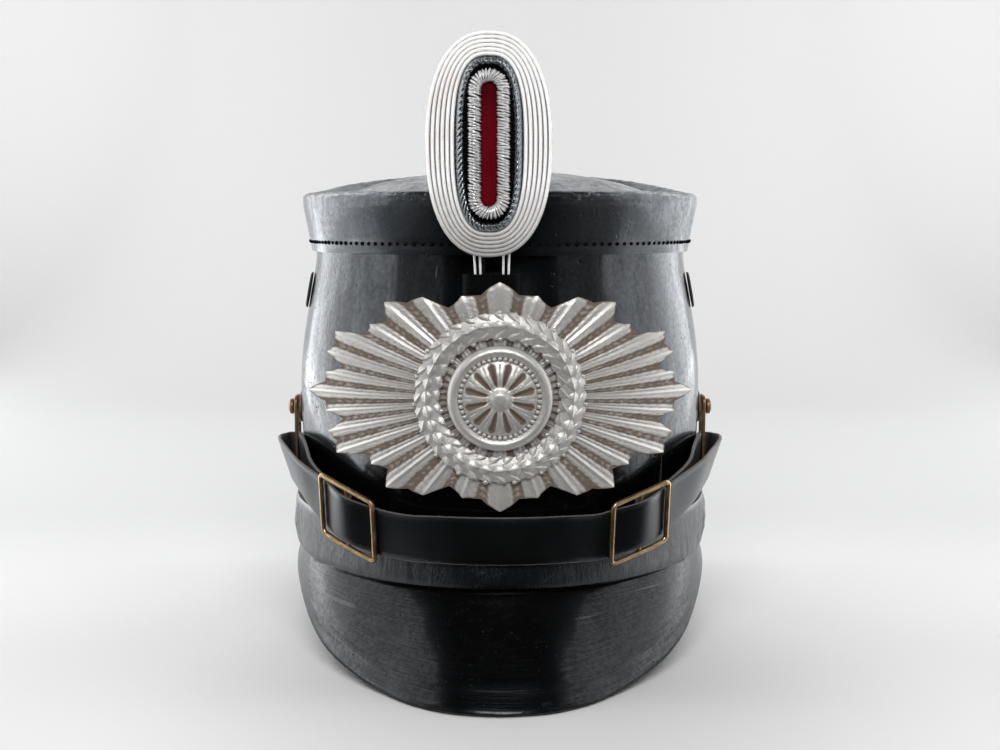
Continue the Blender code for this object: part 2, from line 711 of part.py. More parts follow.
def oval_between(outer, inner, share):
    return Oval(*(a + (b - a) * share for a, b in zip(outer, inner)))


def cockade_turns(oval):
    """Directions that spread points evenly along a tall oval."""
    turns = []
    for i in range(COCKADE_FACETS):
        even = 2.0 * math.pi * i / COCKADE_FACETS
        turns.append(math.atan2(oval.half_width * math.sin(even), oval.half_height * math.cos(even)))
    return turns


def cockade_cords():
    turns = cockade_turns(CORDS_OUTER)
    rows = [[cockade_point(CORDS_OUTER, t, 0.4 * MM, 0.0) for t in turns],
            [cockade_point(CORDS_OUTER, t, 0.0, COCKADE_BACKING) for t in turns]]
    for cord in range(CORD_ROWS):
        for step, rise in ((0.5, CORD_RISE), (1.0, 0.72 * CORD_RISE)):
            oval = oval_between(CORDS_OUTER, CORDS_INNER, (cord + step) / CORD_ROWS)
            rows.append([cockade_point(oval, t, 0.0, COCKADE_BACKING + rise) for t in turns])
    rows.append([cockade_point(CORDS_INNER, t, 0.1 * MM, COCKADE_BACKING) for t in turns])
    back, front = COCKADE_CENTRE, COCKADE_CENTRE - Vector((0.0, COCKADE_BACKING, 0.0))
    rows = [row[::-1] for row in rows]
    loft("cockade_cords", rows, SILVER_CORD, poles=[(0, back), (-1, front)])


def cockade_ring(name, oval, radius, finish, sides=6):
    """A round cord laid on the backing along an oval."""
    turns = cockade_turns(oval)
    sections = []
    for t in turns:
        section = []
        for k in range(sides):
            roll = 2.0 * math.pi * (k + 0.5) / sides
            rise = COCKADE_BACKING + GAP + radius * (1.0 + math.sin(roll))
            section.append(cockade_point(oval, t, -radius * math.cos(roll), rise))
        sections.append(section)
    tube_loop(name, sections, finish)


def cockade_velvet():
    turns = cockade_turns(VELVET)
    base = COCKADE_BACKING + GAP
    rows = [[cockade_point(VELVET, t, 0.0, base) for t in turns],
            [cockade_point(VELVET, t, 0.2 * MM, base + 0.8 * VELVET_RISE) for t in turns],
            [cockade_point(VELVET, t, 1.2 * MM, base + VELVET_RISE) for t in turns]]
    rows = [row[::-1] for row in rows]
    middle = [COCKADE_CENTRE - Vector((0.0, rise, 0.0)) for rise in (base, base + VELVET_RISE)]
    loft("cockade_velvet", rows, RED_VELVET, poles=[(0, middle[0]), (-1, middle[1])])


def prong(word, x):
    """A hairpin of wire: up behind the cockade, down into the sleeve."""
    legs = []
    for i in range(7):
        turn = math.pi * i / 6
        legs.append(Vector((x * MM - PRONG_HALF_SPREAD * math.cos(turn), PRONG_Y,
                            PRONG_FOOT - PRONG_HALF_SPREAD * math.sin(turn))))
    points = [Vector((legs[0].x, PRONG_Y, PRONG_TOP))] + legs + [Vector((legs[-1].x, PRONG_Y, PRONG_TOP))]
    wire(f"prong_{word}", points, PRONG_RADIUS, STEEL, resolution=1)


def prong_sleeve():
    """A leather arch on the crown's face, open above and below."""
    rows = []
    for height in SLEEVE_HEIGHTS:
        left, right = (SLEEVE_CENTRE_X + s * SLEEVE_HALF_WIDTH for s in (-1, 1))
        front = SLEEVE_FRONT_Y + SLEEVE_WALL
        row = [(left, crown_y(left, height) - GAP), (left + 0.6 * MM, front + 1.2 * MM),
               (left + 2.2 * MM, front), (right - 2.2 * MM, front),
               (right - 0.6 * MM, front + 1.2 * MM), (right, crown_y(right, height) - GAP)]
        rows.append([Vector((x, y, height)) for x, y in row])
    thicken(loft("prong_sleeve", rows, BLACK_LEATHER, closed=False), SLEEVE_WALL, 1.0)


def vent(word, side):
    profile = [(share * VENT_RADIUS, out * MM) for share, out in VENT_PROFILE]
    cap = turned(f"vent_{word}", profile, TURNED_STEPS, BLACK_LEATHER)
    drills = bmesh.new()
    for i in range(VENT_HOLES):
        turn = 2.0 * math.pi * i / VENT_HOLES
        x, y = (VENT_HOLE_RING * VENT_RADIUS * f(turn) for f in (math.cos, math.sin))
        bmesh.ops.create_cone(drills, cap_ends=True, segments=6, radius1=VENT_HOLE_RADIUS,
                              radius2=VENT_HOLE_RADIUS, depth=VENT_DRILL_DEPTH,
                              matrix=Matrix.Translation((x, y, 0.0)))
    mesh = bpy.data.meshes.new(f"vent_drills_{word}")
    drills.to_mesh(mesh)
    drills.free()
    cutter = add_object(f"vent_drills_{word}", mesh)
    boolean(cap, cutter, "DIFFERENCE")
    lower, upper = (skin(VENT_ANGLE, VENT_HEIGHT + way * VENT_RADIUS)[0] for way in (-1, 1))
    normal = skin(VENT_ANGLE, VENT_HEIGHT)[1]
    rising = (upper - lower).normalized()
    flip = Vector((side, 1.0, 1.0))
    facing = (normal - rising * normal.dot(rising)) * flip
    for obj in (cap, cutter):
        obj.location = ((lower + upper) / 2 + 2 * GAP * normal) * flip
        obj.rotation_euler = facing.to_track_quat("Z", "Y").to_euler()


def centre_on_origin():
    """Moves the hat so that the middle of its footprint is the origin and it stands on z = 0."""
    bpy.context.view_layer.update()
    depsgraph = bpy.context.evaluated_depsgraph_get()
    corners = []
    for obj in parts.objects:
        evaluated = obj.evaluated_get(depsgraph)
        mesh = evaluated.to_mesh()
        corners += [obj.matrix_world @ v.co for v in mesh.vertices]
        evaluated.to_mesh_clear()
    low = [min(c[i] for c in corners) for i in range(3)]
    high = [max(c[i] for c in corners) for i in range(3)]
    root.location = (-(low[0] + high[0]) / 2, -(low[1] + high[1]) / 2, -low[2])


clear_scene()
parts = collection("shako")
cutters = collection("shako_cutters")
root = bpy.data.objects.new("crown_axis", None)
bpy.context.scene.collection.objects.link(root)

crown_body()
crown_top()
base_band()
peak("front_peak", FRONT_PEAK, 0.0)
peak("rear_peak", REAR_PEAK, 180.0)
chin_strap()
for word, side in (("left", -1), ("right", 1)):
    slider(f"slider_{word}", side)
    side_fitting(word, side)
    vent(word, side)
plate_rays()
plate_wreath()
plate_boss()
cockade_cords()
cockade_ring("cockade_black_cord", BLACK_CORD, BLACK_CORD_RADIUS, BLACK_CORD_SILK)
cockade_ring("cockade_bullion", BULLION, BULLION_RADIUS, SILVER_CORD)
cockade_velvet()
for word, x in PRONG_PLACES:
    prong(word, x)
prong_sleeve()
centre_on_origin()
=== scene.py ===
import json
import math

import bmesh
import bpy
import numpy as np
from mathutils import Matrix, Vector, noise

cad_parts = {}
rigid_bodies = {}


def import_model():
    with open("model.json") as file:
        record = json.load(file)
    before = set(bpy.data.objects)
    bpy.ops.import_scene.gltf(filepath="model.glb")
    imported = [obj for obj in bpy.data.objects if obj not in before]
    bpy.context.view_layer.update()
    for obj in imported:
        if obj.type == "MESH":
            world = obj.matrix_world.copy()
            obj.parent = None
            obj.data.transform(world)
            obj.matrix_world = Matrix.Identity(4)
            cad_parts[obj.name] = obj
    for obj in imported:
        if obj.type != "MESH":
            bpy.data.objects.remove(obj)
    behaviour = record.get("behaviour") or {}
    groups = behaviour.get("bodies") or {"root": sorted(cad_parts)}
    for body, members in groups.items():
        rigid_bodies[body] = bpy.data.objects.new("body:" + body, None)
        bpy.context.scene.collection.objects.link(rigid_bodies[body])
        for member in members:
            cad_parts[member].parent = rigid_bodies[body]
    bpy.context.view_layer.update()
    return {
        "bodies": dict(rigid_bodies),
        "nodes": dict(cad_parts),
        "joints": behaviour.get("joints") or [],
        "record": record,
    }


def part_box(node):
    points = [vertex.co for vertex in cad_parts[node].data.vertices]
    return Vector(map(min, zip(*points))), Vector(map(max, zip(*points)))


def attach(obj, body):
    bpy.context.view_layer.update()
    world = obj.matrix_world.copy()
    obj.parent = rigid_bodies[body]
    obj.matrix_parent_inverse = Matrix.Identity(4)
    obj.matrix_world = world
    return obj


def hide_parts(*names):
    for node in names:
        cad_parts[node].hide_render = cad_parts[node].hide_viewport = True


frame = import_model()

mm = 0.001
crownLow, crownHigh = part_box("crown_body")
axisY = (crownLow.y + crownHigh.y) / 2      # the crown's own middle, where the tables below count from
towardsViewer = (0.0, -1.0, 0.0)


# camera, light and paper, in metres

view = {
    "eye": (0.0, axisY - 0.620, 0.1681),
    "pitchDown": 6.137,                     # degrees
    "pixelsPerTangent": 1488.0,             # focal length in pixels of the 1000 wide frame
    "frameWidth": 1000.0,
    "sensorWidth": 36.0, "nearest": 0.02, "farthest": 20.0,
}
studio = {
    # name, where it starts and ends, its heights, glow left and right, whether it lights the paper
    "panels": (("side", (1.00, -0.36), (0.56, 0.80), (0.03, 1.15), (2.2, 1.9), True),
               ("foot", (0.33, -0.07), (0.50, 0.80), (0.0, 0.072), (2.5, 1.4), False),
               ("wing", (0.62, -0.28), (0.53, -0.68), (0.0, 0.60), (0.45, 0.42), False)),
    "sideTint": (0.965, 0.98, 1.0),
    # name, place, what it points at, size, watts, shows as a highlight, lights matt faces
    "lamps": (("wall_wash", (0.0, 0.15, 1.75), (0.0, 1.3, 0.85), (3.5, 0.4), 42.0, False, True),
              ("front_fill", (0.0, -1.25, 0.95), (0.0, 0.0, 0.15), (1.0, 0.8), 22.0, False, True),
              ("front_sparkle", (0.0, -1.25, 0.98), (0.0, 0.0, 0.15), (0.8, 0.22), 10.0, True, False)),
    "roomLight": 0.008, "roomSeen": 0.80,
}
# the paper's tones are painted to even out the uneven light; shade is a painted shadow of the hat on the
# paper
paper = {
    "floorTone": (0.565, 0.565, 0.56), "farTone": (0.462, 0.462, 0.459), "farFrom": (0.0, 0.24),
    "wallTone": (0.520, 0.520, 0.518), "wallSideTone": (0.745, 0.745, 0.745),
    "sideFrom": (0.05, 0.65), "wallFrom": (0.65, 1.4),
    "shade": 0.27, "shadeAt": (0.014, -0.120, 0.0), "shadeReach": (0.02, 0.16),
    "wallAt": 1.25, "bend": 0.55, "bendSteps": 24, "wallTop": 1.9, "halfWidth": 1.9,
    "apronFrom": -0.13, "apronTo": -2.2,
}


def linked(name, data):
    made = bpy.data.objects.new(name, data)
    bpy.context.scene.collection.objects.link(made)
    return made


def makeCamera():
    data = bpy.data.cameras.new("camera")
    data.sensor_fit = "HORIZONTAL"
    data.sensor_width = view["sensorWidth"]
    data.lens = view["pixelsPerTangent"] / view["frameWidth"] * data.sensor_width
    data.clip_start, data.clip_end = view["nearest"], view["farthest"]
    made = linked("camera", data)
    made.location = view["eye"]
    made.rotation_euler = (math.radians(90.0 - view["pitchDown"]), 0.0, 0.0)
    bpy.context.scene.camera = made


def softbox(name, place, aim, size, power, glossy, diffuse, tint=(1.0, 1.0, 1.0)):
    data = bpy.data.lights.new(name, "AREA")
    data.shape = "RECTANGLE"
    data.size, data.size_y = size
    data.energy = power
    data.color = tint
    made = linked(name, data)
    made.location = place
    made.rotation_euler = (Vector(place) - Vector(aim)).to_track_quat("Z", "Y").to_euler()
    made.visible_glossy, made.visible_diffuse = glossy, diffuse


def makeStudio():
    for kind, (fromX, fromY), (toX, toY), (bottom, ceiling), glows, diffuse in studio["panels"]:
        size = (math.hypot(toX - fromX, toY - fromY), ceiling - bottom)
        for side, word, glow in ((-1, "left", glows[0]), (1, "right", glows[1])):
            place = Vector((side * (fromX + toX) / 2, (fromY + toY) / 2, (bottom + ceiling) / 2))
            inward = Vector((fromY - toY, side * (toX - fromX), 0.0))
            if inward.dot(place) > 0.0:
                inward = -inward
            softbox(f"{kind}_{word}", place, place + inward, size, math.pi * size[0] * size[1] * glow,
                    True, diffuse, studio["sideTint"])
    for lamp in studio["lamps"]:
        softbox(*lamp)
    world = bpy.data.worlds.new("room")
    bpy.context.scene.world = world
    world.use_nodes = True
    tree = Tree(world.node_tree)
    seen = tree.node("ShaderNodeLightPath", out="Is Camera Ray")
    glow = studio["roomLight"] + (studio["roomSeen"] - studio["roomLight"]) * seen
    tree.fill(world.node_tree.nodes["Background"], {"Color": (1.0, 1.0, 1.0, 1.0), "Strength": glow})
    bpy.context.scene.view_settings.view_transform = "Standard"


# node trees

class Sock:
    # one output of a node, with the sums and products that masks need
    def __init__(self, tree, out):
        self.tree, self.out = tree, out

    def __add__(self, other):
        return self.tree.maths("ADD", self, other)

    def __radd__(self, other):
        return self.tree.maths("ADD", other, self)

    def __sub__(self, other):
        return self.tree.maths("SUBTRACT", self, other)

    def __rsub__(self, other):
        return self.tree.maths("SUBTRACT", other, self)

    def __mul__(self, other):
        return self.tree.maths("MULTIPLY", self, other)

    def __rmul__(self, other):
        return self.tree.maths("MULTIPLY", other, self)

    def __truediv__(self, other):
        return self.tree.maths("DIVIDE", self, other)


class Tree:
    def __init__(self, tree):
        self.tree = tree

    def fill(self, node, values):
        # links each Sock and sets any other value
        for key, value in (values.items() if isinstance(values, dict) else enumerate(values)):
            if isinstance(value, Sock):
                self.tree.links.new(value.out, node.inputs[key])
            elif value is not None:
                node.inputs[key].default_value = value

    def node(self, kind, settings=None, values=(), out=0):
        made = self.tree.nodes.new(kind)
        for key, value in (settings or {}).items():
            setattr(made, key, value)
        self.fill(made, values)
        return Sock(self, made.outputs[out])

    def maths(self, operation, *values):
        return self.node("ShaderNodeMath", {"operation": operation}, values)

    def vector(self, operation, *values, out=0):
        return self.node("ShaderNodeVectorMath", {"operation": operation}, values, out)

    def scaled(self, vector, scale):
        return self.node("ShaderNodeVectorMath", {"operation": "SCALE"}, {"Vector": vector, "Scale": scale})

    def part(self, vector, index):
        return self.node("ShaderNodeSeparateXYZ", {}, [vector], index)

    def fact(self, name):
        return self.node("ShaderNodeAttribute", {"attribute_name": name}, out="Fac")

    def stretched(self, where, stretch):
        return self.node("ShaderNodeMapping", {}, {"Vector": where, "Scale": stretch})

    def noise(self, where, scale, detail=2.0, roughness=0.5, stretch=(1.0, 1.0, 1.0), out=0):
        return self.node("ShaderNodeTexNoise", {},
                         {"Vector": self.stretched(where, stretch), "Scale": scale, "Detail": detail,
                          "Roughness": roughness}, out)

    def cells(self, where, scale, out, **settings):
        return self.node("ShaderNodeTexVoronoi", settings,
                         {"Vector": where, "Scale": scale, "Randomness": 1.0}, out)

    def ramp(self, value, low, high):
        # 0 at low, 1 at high, soft between
        return self.node("ShaderNodeMapRange", {"interpolation_type": "SMOOTHSTEP"},
                         {"Value": value, "From Min": low, "From Max": high})

    def blend(self, amount, a, b):
        # from colour a to colour b
        a, b = (tone if isinstance(tone, Sock) else (*tone, 1.0) for tone in (a, b))
        return self.node("ShaderNodeMix", {"data_type": "RGBA"}, {0: amount, 6: a, 7: b}, 2)


# materials: tones are linear, scales count per metre, depths of relief are in metres

blueSheen = (0.86, 0.93, 1.0, 1.0)
glass = 1.5                                 # index of refraction of polish and lacquer


def newMaterial(name):
    made = bpy.data.materials.new(name)
    made.use_nodes = True
    tree = Tree(made.node_tree)
    return made, tree, tree.node("ShaderNodeTexCoord", out="Object")


def dressed(made, tree, values, height=None, depth=0.0):
    if height is not None:
        values["Normal"] = tree.node("ShaderNodeBump", {},
                                     {"Strength": 1.0, "Distance": depth, "Height": height})
    tree.fill(made.node_tree.nodes["Principled BSDF"], values)
    return made


def lacquer(name, look):
    # black japanned leather: pits, hairline scratches, cracks and smeared polish
    made, tree, where = newMaterial(name)
    grain = tree.noise(where, 900.0, 3.0, 0.6)
    smear = tree.noise(where, 38.0, 3.0, 0.55, look["smearStretch"])
    if "strokes" in look:
        flat = tree.node("ShaderNodeUVMap", {"uv_map": "surface"})
        brush = tree.noise(flat, 1.0, 3.0, 0.6, look["strokes"])
        cloud = tree.noise(flat, 1.0, 5.0, 0.72, look["hazeStretch"])
    else:
        brush = tree.noise(where, 160.0, 2.0, 0.6, look["brushStretch"])
        cloud = tree.noise(where, look["hazeScale"], 6.0, 0.68, look["hazeStretch"])
    pitTone = tree.node("ShaderNodeSeparateColor", {}, [tree.cells(where, look["pitScale"], "Color")])
    pit = ((1.0 - tree.ramp(tree.cells(where, look["pitScale"], "Distance"), 0.05, look["pitSize"]))
           * tree.ramp(pitTone, 0.52, 0.6))
    ragged = tree.vector("MULTIPLY_ADD", tree.noise(where, 150.0, out="Color"), (0.01, 0.01, 0.01), where)
    crackEdge = tree.cells(ragged, look["crackScale"], "Distance", feature="DISTANCE_TO_EDGE")
    crackArea = tree.ramp(tree.noise(where, 26.0, 2.0, 0.5), *look["crackArea"])
    crack = (1.0 - tree.ramp(crackEdge, 0.0, 0.035)) * crackArea
    scratch = tree.ramp(tree.noise(where, 240.0, 1.0, 0.4, look["scratchStretch"]), 0.745, 0.77)
    drips = tree.noise(where, look["dripScale"], 3.0, 0.6, look["dripStretch"])
    scuff = tree.ramp(tree.noise(where, 60.0, 4.0, 0.7), 0.64, 0.8)
    cloud = tree.ramp(cloud, 0.40, 0.62)
    dust = tree.ramp(tree.noise(where, 560.0, 3.0, 0.65), 0.40, 0.60)
    fleck = tree.ramp(tree.noise(where, 1300.0, 1.0, 0.5), 0.68, 0.74)
    colour = tree.blend(smear, look["dark"], look["light"])
    colour = tree.blend(crack * 0.75, colour, look["crackTone"])
    colour = tree.blend(scratch * 0.5 + scuff * 0.25 + fleck * 0.12, colour, look["scuffTone"])
    rough = look["gloss"] + look["smearRough"] * smear + 0.10 * scuff + 0.12 * crack + 0.06 * pit
    height = (look["grainDeep"] * grain + look["brushDeep"] * brush + look["smearDeep"] * smear
              + look["dripDeep"] * drips - pit * 0.9 - crack * 1.1 - scratch * 0.35)
    if "edgeWorn" in look:
        # the cut edge of the peak is bare brown leather where the polish has gone
        face = tree.part(flat, 1) + 0.05 * tree.noise(where, 300.0, 3.0, 0.6) - 0.025
        edge = tree.ramp(face, look["edgeWorn"], look["edgeWorn"] + 0.012)
        edge = edge * (0.25 + 0.75 * tree.ramp(tree.noise(where, 34.0, 3.0, 0.6), 0.38, 0.62))
        colour = tree.blend(edge * 0.6, colour, look["edgeTone"])
        rough = rough + 0.3 * edge
    if "rimGlints" in look:
        # painted highlights: pale specks along the crumpled upper rim stand in for glints of light on its
        # crinkled polish
        rim = tree.fact("rim")
        glintSpots = (tree.ramp(tree.noise(where, 620.0, 2.0, 0.6), 0.54, 0.64)
                  * tree.ramp(tree.noise(where, 90.0, 2.0, 0.5), 0.42, 0.58))
        colour = tree.blend(rim * glintSpots * look["rimGlints"], colour, look["glintTone"])
        height = height + 1.6 * rim * tree.noise(where, 420.0, 2.0, 0.6)
    gleam = look["coat"] * (0.1 + 1.1 * cloud + 0.7 * dust) * (1.0 - crack) * (1.0 - pit)
    return dressed(made, tree, {"Base Color": colour, "Roughness": rough, "Coat Weight": gleam,
                                "Coat Roughness": look["coatRough"], "Coat Tint": blueSheen, "IOR": glass,
                                "Specular IOR Level": look["specular"], "Specular Tint": blueSheen},
                   height, 0.00012)


def plainLeather(name, look):
    # unlacquered leather with pores, creases and fine cracks
    made, tree, where = newMaterial(name)
    pores = tree.noise(where, 1300.0, 3.0, 0.65)
    crease = tree.noise(where, look["creaseScale"], 4.0, 0.62, look["creaseStretch"])
    smear = tree.noise(where, 45.0, 3.0, 0.55)
    crackEdge = tree.cells(tree.stretched(where, look["creaseStretch"]), look["crackScale"], "Distance",
                           feature="DISTANCE_TO_EDGE")
    crack = (1.0 - tree.ramp(crackEdge, 0.0, 0.06)) * tree.ramp(smear, 0.42, 0.62)
    colour = tree.blend(smear, look["dark"], look["light"])
    colour = tree.blend(crack * look["crackShow"], colour, look["crackTone"])
    height = look["poreDeep"] * pores + look["creaseDeep"] * crease - look["crackDeep"] * crack
    rough = look["rough"] + 0.16 * smear + 0.10 * crack
    return dressed(made, tree, {"Base Color": colour, "Roughness": rough, "Coat Weight": look["coat"],
                                "Coat Roughness": 0.3, "IOR": glass, "Specular Tint": blueSheen,
                                "Specular IOR Level": look["specular"]}, height, 0.0002)


def strapLeather(name, look):
    # satin black hide with a raw, lighter, fuzzy cut edge and a rough inner side
    made, tree, where = newMaterial(name)
    side = tree.fact("flesh")
    fuzz = tree.noise(where, 1100.0, 4.0, 0.75)
    smear = tree.noise(where, 55.0, 3.0, 0.6)
    colour = tree.blend(smear, look["dark"], look["light"])
    colour = tree.blend(side * 0.8, colour, look["flesh"])
    raw = tree.ramp(tree.fact("cutEdge") + 0.5 * fuzz - 0.25, 0.42, 0.62)
    colour = tree.blend(raw * 0.8, colour, look["edge"])
    rough = look["rough"] + 0.14 * smear + 0.28 * side + 0.25 * raw
    height = 0.25 * tree.noise(where, 1500.0, 3.0, 0.65) + 0.6 * fuzz * side + 0.7 * fuzz * raw
    return dressed(made, tree, {"Base Color": colour, "Roughness": rough, "Coat Weight": 0.2,
                                "Coat Roughness": 0.25, "IOR": glass, "Specular Tint": blueSheen,
                                "Specular IOR Level": look["specular"]}, height, 0.00022)


def castMetal(name, look):
    # cast white metal: grainy, dull, with brown left in the low places
    made, tree, where = newMaterial(name)
    grain = tree.noise(where, 1500.0, 3.0, 0.7)
    blotch = tree.noise(where, 120.0, 4.0, 0.65)
    sand = tree.noise(where, 700.0, 2.0, 0.6)
    dirt = tree.ramp(tree.fact("recess") + 0.7 * blotch + 0.35 * sand - 0.52, 0.18, 0.78)
    colour = tree.blend(dirt, tree.blend(blotch, look["metal"], look["bright"]), look["dirt"])
    return dressed(made, tree, {"Base Color": colour, "Roughness": look["rough"] + 0.22 * dirt + 0.08 * grain,
                                "Metallic": look["metallic"] - look["metallic"] * 0.75 * dirt, "IOR": glass},
                   0.55 * grain + 0.45 * sand, 0.00016)


def wireMetal(name, look):
    # drawn wire and turned studs, tarnished in blotches
    made, tree, where = newMaterial(name)
    blotch = tree.noise(where, 240.0, 4.0, 0.65)
    fine = tree.noise(where, 1800.0, 2.0, 0.6)
    tarnish = tree.ramp(blotch, 0.45, 0.75)
    return dressed(made, tree, {"Base Color": tree.blend(tarnish, look["metal"], look["tarnish"]),
                                "Roughness": look["rough"] + 0.22 * tarnish + 0.08 * fine,
                                "Metallic": look["metallic"] - 0.25 * tarnish},
                   0.6 * fine + 0.4 * blotch, 0.00006)


def threadFinish(name, look):
    # metal-wrapped thread, silk thread or cloth, frayed and a little soiled
    made, tree, where = newMaterial(name)
    fray = tree.noise(where, 1700.0, 3.0, 0.7)
    soil = tree.ramp(tree.noise(where, look["soilScale"], 3.0, 0.6), 0.5, 0.75)
    colour = tree.blend(fray, look["dark"], look["light"])
    colour = tree.blend(soil * look["soilShow"], colour, look["soil"])
    if "lowShade" in look:
        # painted shade: greyer towards the bottom, where less light falls, and dark brown on the cords' sides
        # in the furrows between the rows
        start, end = look["lowShadeHeights"]
        lower = tree.node("ShaderNodeMapRange", {},
                          {"Value": tree.part(where, 2), "From Min": start, "From Max": end})
        colour = tree.blend(lower * 0.85, colour, look["lowShade"])
        colour = tree.blend(tree.ramp(tree.fact("recess"), 0.22, 1.0) * 0.72, colour, look["shadeTone"])
    return dressed(made, tree, {"Base Color": colour, "Roughness": look["rough"] + 0.15 * fray,
                                "Metallic": look["metallic"], "IOR": look.get("ior", glass),
                                "Specular IOR Level": look["specular"],
                                "Specular Tint": look.get("tint", (1.0, 1.0, 1.0, 1.0))}, fray, 0.00008)


def velvetFinish(name, look):
    # short pile; painted shade darkens the top, under the bullion
    made, tree, where = newMaterial(name)
    pile = tree.noise(where, 1800.0, 3.0, 0.8)
    colour = tree.blend(tree.noise(where, 130.0, 3.0, 0.6), look["dark"], look["light"])
    colour = tree.blend(tree.ramp(tree.part(where, 2), *look["shadeToneHeights"]) * 0.75, colour, look["shadeTone"])
    colour = tree.blend(tree.ramp(pile, 0.35, 0.65) * 0.4, colour, look["light"])
    return dressed(made, tree, {"Base Color": colour, "Roughness": 0.85, "Sheen Weight": 0.02,
                                "Sheen Roughness": 0.4, "Sheen Tint": (0.9, 0.25, 0.3, 1.0),
                                "Specular IOR Level": 0.06}, pile, 0.0003)


def paperFinish(name, look):
    # painted shadow and painted light: the paper is painted greyer in the hat's soft shadow, and its tones
    # are painted to even out where most light falls on it, darker far back and in the wall's middle, lighter
    # at the wall's sides
    made, tree, where = newMaterial(name)
    back = tree.part(where, 1)
    away = tree.vector("DISTANCE", where, look["shadeAt"], out="Value")
    shaded = tuple(tone * (1.0 - look["shade"]) for tone in look["floorTone"])
    colour = tree.blend(tree.ramp(away, *look["shadeReach"]), shaded, look["floorTone"])
    colour = tree.blend(tree.ramp(back, *look["farFrom"]), colour, look["farTone"])
    aside = tree.ramp(tree.maths("ABSOLUTE", tree.part(where, 0)), *look["sideFrom"])
    wall = tree.blend(aside, look["wallTone"], look["wallSideTone"])
    colour = tree.blend(tree.ramp(back, *look["wallFrom"]), colour, wall)
    return dressed(made, tree, {"Base Color": colour, "Roughness": 0.85, "Specular IOR Level": 0.15})


def grey(tone, blue=1.0):
    return (tone, tone, tone * blue)


